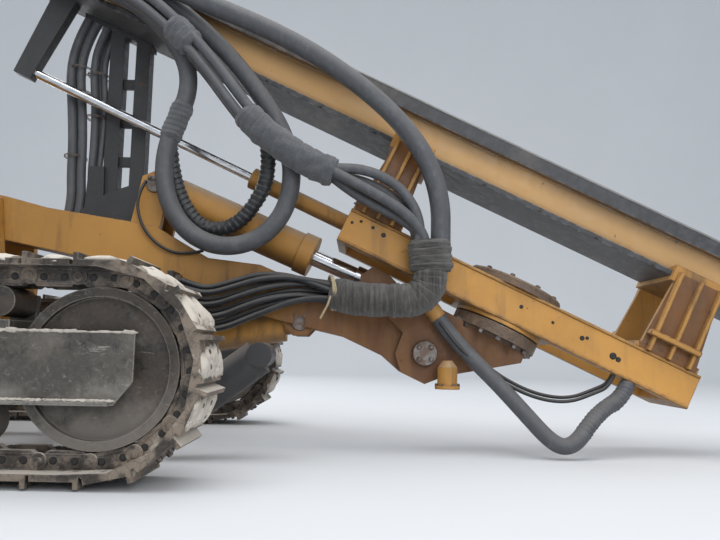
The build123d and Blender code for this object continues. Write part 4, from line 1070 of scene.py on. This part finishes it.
class RIG_OT_post_hoses(bpy.types.Operator):
    """Lay the thin hose at the pitch cylinder's lug and the hoses tied beside the rest post"""

    bl_idname = "rig.post_hoses"
    bl_label = "Post hoses"

    def execute(self, context):
        lay_hose("lug_hose", lug_route, 0.014, "rubber", ("boom",))
        lay_bundle("post_hose", rest_strands, rest_route, "grey_rubber", ("boom",), "rest_hoses")
        bm = bmesh.new()
        for x, z in ((-0.594, 1.815), (-0.590, 1.690), (-0.596, 1.360), (-0.504, 1.780), (-0.498, 1.560)):
            for turn in range(2):
                add_ring(bm, at(x, 0.090, z + 0.007 * turn), Vector((0.08, 0.05, 1)), 0.054, 0.0022, 24, 6)
        piece("wire_ties", bm, "steel", ("boom",))
        return {"FINISHED"}


def add_link_plates(links, holes, distance, y):
    """The link plates on both flanks of one shoe, with the pins' collars at its end and two holes each, drawn
    as thin discs of near-black painted shade.
    """
    flank_reach, hole_reach, below_seat = 0.0752, 0.07828, 0.036
    place, heading, outward = shoe_frame(distance, y)
    pin, _, pin_outward = shoe_frame(distance + shoe_pitch / 2, y)
    for row in (-1, 1):
        flank, away = sideways(row * flank_reach), sideways(row)
        size = (shoe_pitch * 1.04, 0.006, 0.052)
        add_block(links, place + flank - outward * below_seat, size, (heading, left, outward), 0.006)
        collar = pin + flank - pin_outward * below_seat
        add_disc(links, collar, away, 0.030, 0.008, 18, 0.028)
        add_disc(links, collar + away * 0.008, away, 0.014, 0.003, 14)
        # each hole is a thin disc in near-black painted shade
        for step in (-0.034, 0.034):
            spot = place + away * hole_reach - outward * 0.040 + heading * step
            add_disc(holes, spot, away, 0.0125, 0.0016, 14, 0.011)


def add_shoe_bolts(bolts, distance, y, spin):
    """The four bolt heads on one shoe."""
    place, heading, outward = shoe_frame(distance, y)
    for row in (-1, 1):
        for step in (-0.026, 0.020):
            spot = place + heading * step + sideways(row * 0.060) + outward * shoe_thickness
            add_bolt(bolts, spot, outward, 0.019, spin)


def add_shoe_clay(clay, distance, side, thickness, seed):
    """Lumps of dried clay on one shoe: thick ones in front, thin smears elsewhere, none on the ground."""
    place, heading, outward = shoe_frame(distance, side * track_y)
    ground_run, front_run = 0.12, -0.35
    if place.z < ground_run or thickness <= 0:
        return
    front = place.x > axle_x + front_run
    for n in range(5 if front else 2):
        drift = noise.noise(Vector((seed, n * 2.3, 0.0)))
        reach = (-0.11 + 0.055 * n) if front else (-0.07 + 0.14 * n)
        spot = place + heading * (0.030 * drift - 0.012) + sideways(side * reach) + outward * shoe_thickness
        tall = thickness * (0.75 + 0.5 * abs(drift))
        size = (0.052 * (1 + 0.5 * drift), 0.042, tall * (1.0 if front else 0.45))
        add_lump(clay, spot, (heading, left, outward), size, seed + n)


class RIG_OT_tracks(bpy.types.Operator):
    """Put link plates, pins, shoe bolts and dried clay on both tracks"""

    bl_idname = "rig.tracks"
    bl_label = "Track details"

    def execute(self, context):
        thickness = context.scene.rig_sizes.clay
        for side, name in both_sides:
            links, holes, bolts, clay = (bmesh.new() for _ in range(4))
            for k in range(shoe_count):
                distance = shoe_pitch * (k + 0.5)
                add_link_plates(links, holes, distance, side * track_y)
                add_shoe_bolts(bolts, distance, side * track_y, 0.3 * k)
                add_shoe_clay(clay, distance, side, thickness, 3.1 * k + (7 if side > 0 else 0))
            piece("link_plates_" + name, links, "track", ("chassis",))
            piece("link_holes_" + name, holes, "painted_shade", ("chassis",))
            piece("shoe_bolts_" + name, bolts, "steel", ("chassis",))
            piece("track_clay_" + name, clay, "clay", ("chassis",), 70)
        return {"FINISHED"}


def row_back(count, front, run, y, z):
    """Evenly spaced places in a row that runs back from its front end."""
    return [at(front - run * k / (count - 1), y, z) for k in range(count)]


class RIG_OT_wheels(bpy.types.Operator):
    """Put bolts, hub caps, grease ports and clay ledges on the wheels and side frames"""

    bl_idname = "rig.wheels"
    bl_label = "Wheel details"

    def execute(self, context):
        hub_reach, bolt_circle = 0.115, 0.125
        for side, name in both_sides:
            bm = bmesh.new()
            out = sideways(side)
            face = side * (track_y + side_plate)
            hub = at(-wheel_base, side * (track_y + hub_reach), axle_z)
            for turn, spoke in spokes(9, forward, up):
                add_bolt(bm, hub + spoke * bolt_circle, out, 0.024, turn)
            add_disc(bm, hub + out * 0.010, out, 0.055, 0.010, 24, 0.045)
            for x in (-0.380, -1.560):
                for z in (0.300, 0.440):
                    add_bolt(bm, at(x, face, z), out, 0.022, x)
            for x in (-0.75, -1.20):
                port = at(x, face, 0.385)
                add_disc(bm, port, out, 0.045, 0.006, 24)
                for _, spoke in spokes(5, forward, up):
                    add_bolt(bm, port + spoke * 0.033 + out * 0.006, out, 0.009)
            piece("wheel_bolts_" + name, bm, "wheel", ("chassis",))
            bm = bmesh.new()
            top_edge = row_back(46, 0.100, 1.7, side * (track_y + 0.1045), 0.4815)
            for k, spot in enumerate(top_edge):
                seed = 11.0 * k + side
                drift = noise.noise(Vector((seed, 0.5, 0)))
                size = (0.026, 0.006, 0.006 + 0.005 * drift)
                add_lump(bm, spot + up * 0.002 * drift, rig_axes, size, seed, 0.5)
            bottom_lip = row_back(26, 0.055, 0.5, side * (track_y + 0.120), 0.2655)
            for k, spot in enumerate(bottom_lip):
                add_lump(bm, spot, rig_axes, (0.016, 0.012, 0.005), 5.0 * k + 2 * side, 0.6)
            piece("frame_clay_" + name, bm, "clay", ("chassis",), 70)
        return {"FINISHED"}


def add_beads(bm, first, last, reach, heights, size, uneven, grain, steps, sides):
    """Weld beads along the mast's direction on both sides, a little uneven as they are laid by hand."""
    def radius(share, turn):
        return size + uneven * noise.noise(Vector((share * grain, turn, 0)))

    for side in (-1, 1):
        for height in heights:
            step = (last - first) / steps
            line = [on_mast(first + step * k, side * reach, height) for k in range(steps + 1)]
            add_tube(bm, line, radius, sides)


class RIG_OT_mast_fittings(bpy.types.Operator):
    """Put wear strips, bolts and weld beads on the mast, and the bolts on its guide brackets"""

    bl_idname = "rig.mast_fittings"
    bl_label = "Mast fittings"

    def execute(self, context):
        bolt = context.scene.rig_sizes.bolt
        strips, bolts = bmesh.new(), bmesh.new()
        strip_length = mast_foot - mast_head - 0.30
        middle = (mast_foot + mast_head) / 2
        bolt_count, margin = 16, 0.25
        bolt_run = mast_foot - mast_head - 2 * margin
        for side in (-1, 1):
            edge = on_mast(middle, side * (mast_half_width - 0.011), mast_top + 0.001)
            add_block(strips, edge, (strip_length, 0.026, 0.012), mast_axes, 0.003)
            for k in range(bolt_count):
                along = mast_head + margin + bolt_run * k / (bolt_count - 1)
                spot = on_mast(along, side * mast_half_width, mast_bottom + 0.010)
                add_disc(bolts, spot, sideways(side), 0.008, 0.004, 12, 0.006)
        piece("rail_strips", strips, "bright", ("mast",))
        piece("mast_bolts", bolts, "dark", ("mast",))
        bm = bmesh.new()
        heights = (mast_bottom + bottom_rail + 0.002, mast_top - top_rail - 0.002)
        add_beads(bm, mast_head + 0.01, mast_foot - 0.01, web_half_width, heights, 0.0042, 0.001, 300, 120, 6)
        piece("mast_welds", bm, "mast", ("mast",))
        bm = bmesh.new()
        for node in ("guide_bracket_rear", "guide_bracket_front"):
            for side in (-1, 1):
                for step in (-0.105, -0.035, 0.035, 0.105):
                    spot = on_mast(along_mast(node) + step, side * 0.185, bracket_foot)
                    add_bolt(bm, spot, mast_up, bolt, step)
        piece("bracket_bolts", bm, "steel", ("slide_frame",))
        return {"FINISHED"}


# each heap of mud on the turntable: place along the mast and across it, radius, height
mud_heaps = (
    (-0.060, 0.000, 0.140, 0.024), (0.080, -0.060, 0.090, 0.016), (0.030, 0.090, 0.080, 0.014),
    (-0.120, -0.090, 0.060, 0.012), (0.150, 0.030, 0.050, 0.010), (-0.090, 0.120, 0.055, 0.010),
)


class RIG_OT_turntable(bpy.types.Operator):
    """Put the bolts and the heaped mud on the turntable, and the bolts under its seat"""

    bl_idname = "rig.turntable"
    bl_label = "Turntable"

    def execute(self, context):
        bm = bmesh.new()
        for turn, spoke in spokes(10, mast_along, left):
            add_bolt(bm, on_mast(0, 0, turntable_top + 0.008) + spoke * 0.200, mast_up, 0.022, turn)
        piece("turntable_bolts", bm, "rusty", ("slide_frame",))
        bm = bmesh.new()
        add_disc(bm, on_mast(0, 0, turntable_top), mast_up, 0.2265, 0.012, 64, 0.222)
        for k, (along, aside, wide, tall) in enumerate(mud_heaps):
            heap = on_mast(along, aside, turntable_top + 0.010)
            add_lump(bm, heap, mast_axes, (wide, wide * 0.85, tall), 3.0 * k, 0.3)
        piece("turntable_mud", bm, "mud", ("slide_frame",), 70)
        bm = bmesh.new()
        for turn, spoke in spokes(14, mast_along, left, 0.2):
            add_bolt(bm, on_mast(0, 0, turntable_seat) + spoke * 0.185, -mast_up, 0.026, turn)
        piece("seat_bolts", bm, "steel", ("tilt_head",))
        return {"FINISHED"}


# each plugged hole in the sliding frame's sides, drawn as a disc of near-black painted shade: place along it,
# height on it, radius
plug_holes = (
    (-0.815, 0.100, 0.007), (-0.780, 0.122, 0.007), (-0.720, 0.120, 0.008), (-0.662, 0.110, 0.011),
    (0.030, 0.090, 0.009), (0.185, 0.088, 0.007), (0.330, 0.082, 0.011), (0.350, 0.092, 0.008),
    (0.485, 0.070, 0.016), (0.512, 0.066, 0.012),
)


class RIG_OT_frame_fittings(bpy.types.Operator):
    """Put weld beads on the sliding frame, near-black discs of painted shade on its plugged holes, and the
    lips on its front bracket
    """

    bl_idname = "rig.frame_fittings"
    bl_label = "Frame fittings"

    def execute(self, context):
        bm = bmesh.new()
        add_beads(bm, -0.842, 0.868, frame_half_width + 0.0005, (0.008, 0.152), 0.0075, 0.0012, 90, 80, 8)
        piece("frame_lips", bm, "yellow_dirty", ("slide_frame",))
        bm = bmesh.new()
        for side in (-1, 1):
            spot = on_mast(along_mast("guide_bracket_front"), side * (frame_half_width + 0.021), 0.238)
            add_block(bm, spot, (0.240, 0.044, 0.026), mast_axes, 0.003)
        piece("bracket_lips", bm, "yellow_dirty", ("slide_frame",))
        bm = bmesh.new()
        for side in (-1, 1):
            for along, height, radius in plug_holes:
                spot = on_mast(along, side * frame_half_width, height)
                add_disc(bm, spot, sideways(side), radius, 0.0025, 18, radius * 0.8)
        piece("frame_hole_shades", bm, "painted_shade", ("slide_frame",))
        return {"FINISHED"}


tilt_pin = (1.130, 0.430)
bell_flange = at(1.225, -0.190, 0.291)


class RIG_OT_tilt_head_fittings(bpy.types.Operator):
    """Put the pin's end caps and the bell-shaped cap's bolts on the tilt head"""

    bl_idname = "rig.tilt_head_fittings"
    bl_label = "Tilt head fittings"

    def execute(self, context):
        bm = bmesh.new()
        thick = 0.012
        for side in (-1, 1):
            out = sideways(side)
            face = at(tilt_pin[0], side * 0.145, tilt_pin[1])
            add_disc(bm, face, out, 0.058, thick, 32, 0.054)
            for turn, spoke in spokes(4, forward, up, pi / 4):
                add_bolt(bm, face + spoke * 0.038 + out * thick, out, 0.018, turn)
        piece("tilt_pin_caps", bm, "steel", ("tilt_head",))
        bm = bmesh.new()
        for turn, spoke in spokes(6, forward, left):
            add_bolt(bm, bell_flange + spoke * 0.0495, up, 0.011, turn)
        piece("cap_bolts", bm, "steel", ("tilt_head",))
        return {"FINISHED"}


# each pin of the boom: x and z, how far out its ends stand, and its caps' radius
boom_pins = ((-0.930, 1.040, 0.145, 0.062), (-0.130, 1.185, 0.126, 0.040), (0.560, 0.560, 0.117, 0.040))


class RIG_OT_boom_fittings(bpy.types.Operator):
    """Put pin caps with keeper plates on the boom, and fittings where the hoses end"""

    bl_idname = "rig.boom_fittings"
    bl_label = "Boom fittings"

    def execute(self, context):
        bm = bmesh.new()
        for x, z, reach, radius in boom_pins:
            for side in (-1, 1):
                out = sideways(side)
                face = at(x, side * reach, z)
                keeper = face + up * radius * 0.7
                add_disc(bm, face, out, radius, 0.010, 28, radius * 0.92)
                add_block(bm, keeper + out * 0.014, (radius * 1.5, 0.010, radius * 0.5), bevel=0.002)
                for step in (-0.5, 0.5):
                    add_bolt(bm, keeper + out * 0.018 + forward * step * radius, out, radius * 0.36)
        piece("pin_caps", bm, "steel", ("boom",))
        bm = bmesh.new()
        plate_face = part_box("hose_plate_boom")[1].x
        for k, (diameter, start, _, _) in enumerate(boom_strands):
            spot = Vector((plate_face, boom_route[0].y - start[0], boom_route[0].z + start[1]))
            add_bolt(bm, spot, forward, diameter * 1.15, 0.2 * k)
        piece("boom_hose_ends", bm, "steel", ("boom",))
        bm = bmesh.new()
        for route, width in ((mast_route, 0.10), (air_route, 0.09)):
            add_disc(bm, route[0] + up * 0.001, up, width / 2 + 0.004, 0.03, 24, width / 2)
        piece("clamp_ferrules", bm, "wrap", ("slide_frame",))
        bm = bmesh.new()
        for end, width in ((mast_route[-1], 0.10), (air_route[-1], 0.092), (loop_route[0], 0.086),
                           (loop_route[-1], 0.086)):
            add_disc(bm, end, mast_along, width / 2 + 0.006, 0.05, 24, width / 2)
        piece("plate_ferrules", bm, "steel", ("mast",))
        return {"FINISHED"}


# a door handle's bends: along the door and out from it
handle_bends = ((-0.06, 0.002), (-0.058, 0.024), (-0.03, 0.030), (0.03, 0.030), (0.058, 0.024), (0.06, 0.002))


class RIG_OT_door_grilles(bpy.types.Operator):
    """Put two banks of framed louvres and a handle on each hood door"""

    bl_idname = "rig.door_grilles"
    bl_label = "Door grilles"

    def execute(self, context):
        louvre_tilt, louvre_count, louvre_gap = 0.5, 9, 0.022
        for side, name in both_sides:
            low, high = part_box("hood_door_" + name)
            bm = bmesh.new()
            width = high.x - low.x
            face = side * (hood_half_width + 0.004)
            sill, first_louvre, head = low.z + 0.066, low.z + 0.085, low.z + 0.282
            tilted = (forward, Vector((0, cos(louvre_tilt), side * sin(louvre_tilt))),
                      Vector((0, -side * sin(louvre_tilt), cos(louvre_tilt))))
            for bank in (0.27, 0.73):
                x = low.x + width * bank
                for k in range(louvre_count):
                    spot = Vector((x, face, first_louvre + louvre_gap * k))
                    add_block(bm, spot, (width * 0.34, 0.016, 0.004), tilted, 0.001)
                for z in (sill, head):
                    add_block(bm, Vector((x, face, z)), (width * 0.37, 0.012, 0.010), bevel=0.002)
                for step in (-0.18, 0.18):
                    spot = Vector((x + width * step, face, (sill + head) / 2))
                    add_block(bm, spot, (0.010, 0.012, head - sill), bevel=0.002)
            foot = Vector((low.x + width * 0.5, side * hood_half_width, low.z + 0.05))
            handle = [foot + Vector((x, side * y, 0)) for x, y in handle_bends]
            add_tube(bm, evenly(handle, 0.006), 0.0055, 10)
            piece("grille_hood_door_" + name, bm, "dark", ("door_" + name,))
        return {"FINISHED"}


class RIG_OT_deck_fittings(bpy.types.Operator):
    """Put caps and straps on the tanks, rims on the exhaust and knobs on the console's levers"""

    bl_idname = "rig.deck_fittings"
    bl_label = "Deck fittings"

    def execute(self, context):
        bm = bmesh.new()
        for node, caps in (("fuel_tank", (0.2,)), ("oil_tank", (0.2, 0.75))):
            low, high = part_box(node)
            size = high - low
            for share in caps:
                cap = Vector((low.x + size.x * share, (low.y + high.y) / 2, high.z))
                add_disc(bm, cap, up, 0.050, 0.020, 28)
                add_disc(bm, cap + up * 0.020, up, 0.042, 0.022, 12, 0.038)
            for share in (0.15, 0.50, 0.85):
                for y, side in ((low.y, -1), (high.y, 1)):
                    strap = Vector((low.x + size.x * share, y + side * 0.003, (low.z + high.z) / 2))
                    add_block(bm, strap, (0.040, 0.006, size.z), bevel=0.002)
        piece("tank_caps_and_straps", bm, "dark", ("chassis",))
        bm = bmesh.new()
        low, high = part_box("exhaust")
        mouth = Vector(((low.x + high.x) / 2, (low.y + high.y) / 2, high.z))
        add_ring(bm, mouth - up * 0.004, up, 0.049, 0.0035, 32, 6)
        add_ring(bm, mouth - up * 0.100, up, 0.051, 0.005, 32, 6)
        piece("exhaust_rims", bm, "steel", ("chassis",))
        bm = bmesh.new()
        knob, first_lever, lever_gap = 0.013, at(-1.475, -0.840, 1.400), 0.040
        for k in range(5):
            spot = first_lever + sideways(lever_gap * k)
            made = bmesh.ops.create_icosphere(bm, subdivisions=2, radius=knob)
            bmesh.ops.translate(bm, verts=made["verts"], vec=spot)
        piece("lever_knobs", bm, "rubber", ("chassis",))
        return {"FINISHED"}


class RIG_OT_hood_fittings(bpy.types.Operator):
    """Put roof ribs, the rear grille, the doors' hinges and the front wall's bolted panels on the hood"""

    bl_idname = "rig.hood_fittings"
    bl_label = "Hood fittings"

    def execute(self, context):
        bm = bmesh.new()
        low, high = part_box("hood_roof")
        for k in range(7):
            rib = Vector((low.x + (high.x - low.x) * (0.14 + 0.12 * k), 0, high.z + 0.004))
            add_block(bm, rib, (0.018, (high.y - low.y) * 0.62, 0.008), bevel=0.002)
        for x in (low.x + 0.03, high.x - 0.03):
            for y in (low.y + 0.03, 0.0, high.y - 0.03):
                add_bolt(bm, Vector((x, y, high.z)), up, 0.016)
        piece("roof_ribs", bm, "yellow", ("chassis",))
        bm = bmesh.new()
        low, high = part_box("hood_rear")
        rear, front = low.x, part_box("hood_front")[1].x
        wide, tall = (high.y - low.y) * 0.62, (high.z - low.z) * 0.62
        middle = Vector((rear, 0, low.z + (high.z - low.z) * 0.52))
        for k in range(17):
            bar = middle + Vector((-0.003, 0, tall * (k / 16 - 0.5)))
            add_block(bm, bar, (0.006, wide, 0.006), bevel=0.001)
        for y in (-wide / 2, -wide / 6, wide / 6, wide / 2):
            add_block(bm, middle + Vector((-0.004, y, 0)), (0.008, 0.022, tall + 0.022), bevel=0.002)
        for z in (-tall / 2, tall / 2):
            add_block(bm, middle + Vector((-0.004, 0, z)), (0.008, wide + 0.022, 0.022), bevel=0.002)
        for side in (-1, 1):
            for share in (0.18, 0.50, 0.82):
                x = rear + (front - rear) * share
                hinge = Vector((x - 0.05, side * (hood_half_width + 0.005), hinge_height))
                add_disc(bm, hinge, forward, 0.0045, 0.10, 12)
        piece("hood_grille_and_hinges", bm, "dark", ("chassis",))
        bm = bmesh.new()
        panel_height = 1.215
        for y in (-0.29, 0.29):
            middle = Vector((front + 0.003, y, panel_height))
            add_block(bm, middle, (0.006, 0.50, 0.50), bevel=0.002)
            for _, spoke in spokes(12, left, up):
                reach = 0.225 / max(abs(spoke.y), abs(spoke.z))
                add_disc(bm, middle + forward * 0.003 + spoke * reach, forward, 0.009, 0.005, 12, 0.007)
            bends = ((0, -0.06), (0.03, -0.05), (0.03, 0.05), (0, 0.06))
            grip = [middle + Vector((x, 0.19, z)) for x, z in bends]
            add_tube(bm, evenly(grip, 0.01), 0.007, 8)
        piece("hood_front_panels", bm, "yellow_dirty", ("chassis",))
        return {"FINISHED"}


def make_floor():
    """A pale floor that bends up into a wall behind the rig."""
    floor_z = solid_bounds[0].z
    reach, wall, bend, top = 60.0, 9.0, 3.0, 12.0
    profile = [(-reach, 0.0), (wall, 0.0)]
    profile += [(wall + bend * sin(radians(a)), bend - bend * cos(radians(a))) for a in range(10, 91, 10)]
    profile += [(wall + bend, top)]
    bm = bmesh.new()
    rows = [[bm.verts.new((x, y, z + floor_z)) for x in (-reach, reach)] for y, z in profile]
    for one, two in zip(rows, rows[1:]):
        bm.faces.new((one[0], one[1], two[1], two[0]))
    mesh = bpy.data.meshes.new("floor")
    bm.to_mesh(mesh)
    bm.free()
    mesh.polygons.foreach_set("use_smooth", [True] * len(mesh.polygons))
    f = Finish("studio floor")
    tone = f.noise(0.5, 3.0)
    pale = f.mix(tone, (0.66, 0.67, 0.68, 1), (0.72, 0.73, 0.74, 1))
    mesh.materials.append(f.close(pale, 0.85, tone, 0.001))
    link(bpy.data.objects.new("floor", mesh))


# each lamp: place, what it points at, size in metres, power in watts
lamps = {
    "overhead": ((0.0, -1.0, 7.0), (0.2, 0.0, 0.8), 7.0, 360.0),
    "front": ((3.5, -8.0, 4.0), (0.4, 0.0, 0.9), 4.0, 190.0),
    "rear": ((-5.0, 6.0, 4.5), (-0.5, 0.0, 1.0), 4.0, 200.0),
}
camera_place = (0.654, -3.315, 0.440)
camera_pitch, camera_roll = radians(96.5), radians(1.1)


class RIG_OT_stage(bpy.types.Operator):
    """Make the plain floor, the soft lights and the camera"""

    bl_idname = "rig.stage"
    bl_label = "Studio stage"

    def execute(self, context):
        make_floor()
        world = bpy.data.worlds.new("studio")
        world.use_nodes = True
        sky = world.node_tree.nodes["Background"]
        sky.inputs["Color"].default_value = (0.80, 0.85, 0.92, 1)
        sky.inputs["Strength"].default_value = 0.80
        context.scene.world = world
        for name, (place, target, size, power) in lamps.items():
            data = bpy.data.lights.new(name, "AREA")
            data.size = size
            data.energy = power
            lamp = link(bpy.data.objects.new(name, data))
            lamp.location = place
            lamp.rotation_euler = (Vector(target) - Vector(place)).to_track_quat("-Z", "Y").to_euler()
        data = bpy.data.cameras.new("camera")
        data.lens = 35.0
        data.sensor_width = 36.0
        camera = link(bpy.data.objects.new("camera", data))
        camera.matrix_world = (Matrix.Translation(camera_place) @ Matrix.Rotation(camera_pitch, 4, "X")
                               @ Matrix.Rotation(camera_roll, 4, "Z"))
        context.scene.camera = camera
        context.scene.view_settings.view_transform = "Standard"
        return {"FINISHED"}


steps = (
    RIG_OT_stage, RIG_OT_boom_hoses, RIG_OT_sleeve, RIG_OT_mast_hoses, RIG_OT_lower_hoses, RIG_OT_post_hoses,
    RIG_OT_finish_solids, RIG_OT_tracks, RIG_OT_wheels, RIG_OT_mast_fittings, RIG_OT_turntable,
    RIG_OT_frame_fittings, RIG_OT_tilt_head_fittings, RIG_OT_boom_fittings, RIG_OT_door_grilles,
    RIG_OT_deck_fittings, RIG_OT_hood_fittings,
)


class RIG_PT_panel(bpy.types.Panel):
    """The rig's sizes, colours and building steps"""

    bl_idname = "RIG_PT_panel"
    bl_label = "Drilling rig"
    bl_space_type = "VIEW_3D"
    bl_region_type = "UI"
    bl_category = "Drilling rig"

    def draw(self, context):
        for group in (context.scene.rig_sizes, context.scene.rig_colours):
            for name in group.__annotations__:
                self.layout.prop(group, name)
        for step in steps:
            self.layout.operator(step.bl_idname)


classes = (RigSizes, RigColours, *steps, RIG_PT_panel)


def register():
    for cls in classes:
        bpy.utils.register_class(cls)
    bpy.types.Scene.rig_sizes = bpy.props.PointerProperty(type=RigSizes)
    bpy.types.Scene.rig_colours = bpy.props.PointerProperty(type=RigColours)


def unregister():
    del bpy.types.Scene.rig_sizes
    del bpy.types.Scene.rig_colours
    for cls in reversed(classes):
        bpy.utils.unregister_class(cls)


def main():
    register()
    for step in steps:
        group, name = step.bl_idname.split(".")
        getattr(getattr(bpy.ops, group), name)()


if __name__ == "__main__":
    main()
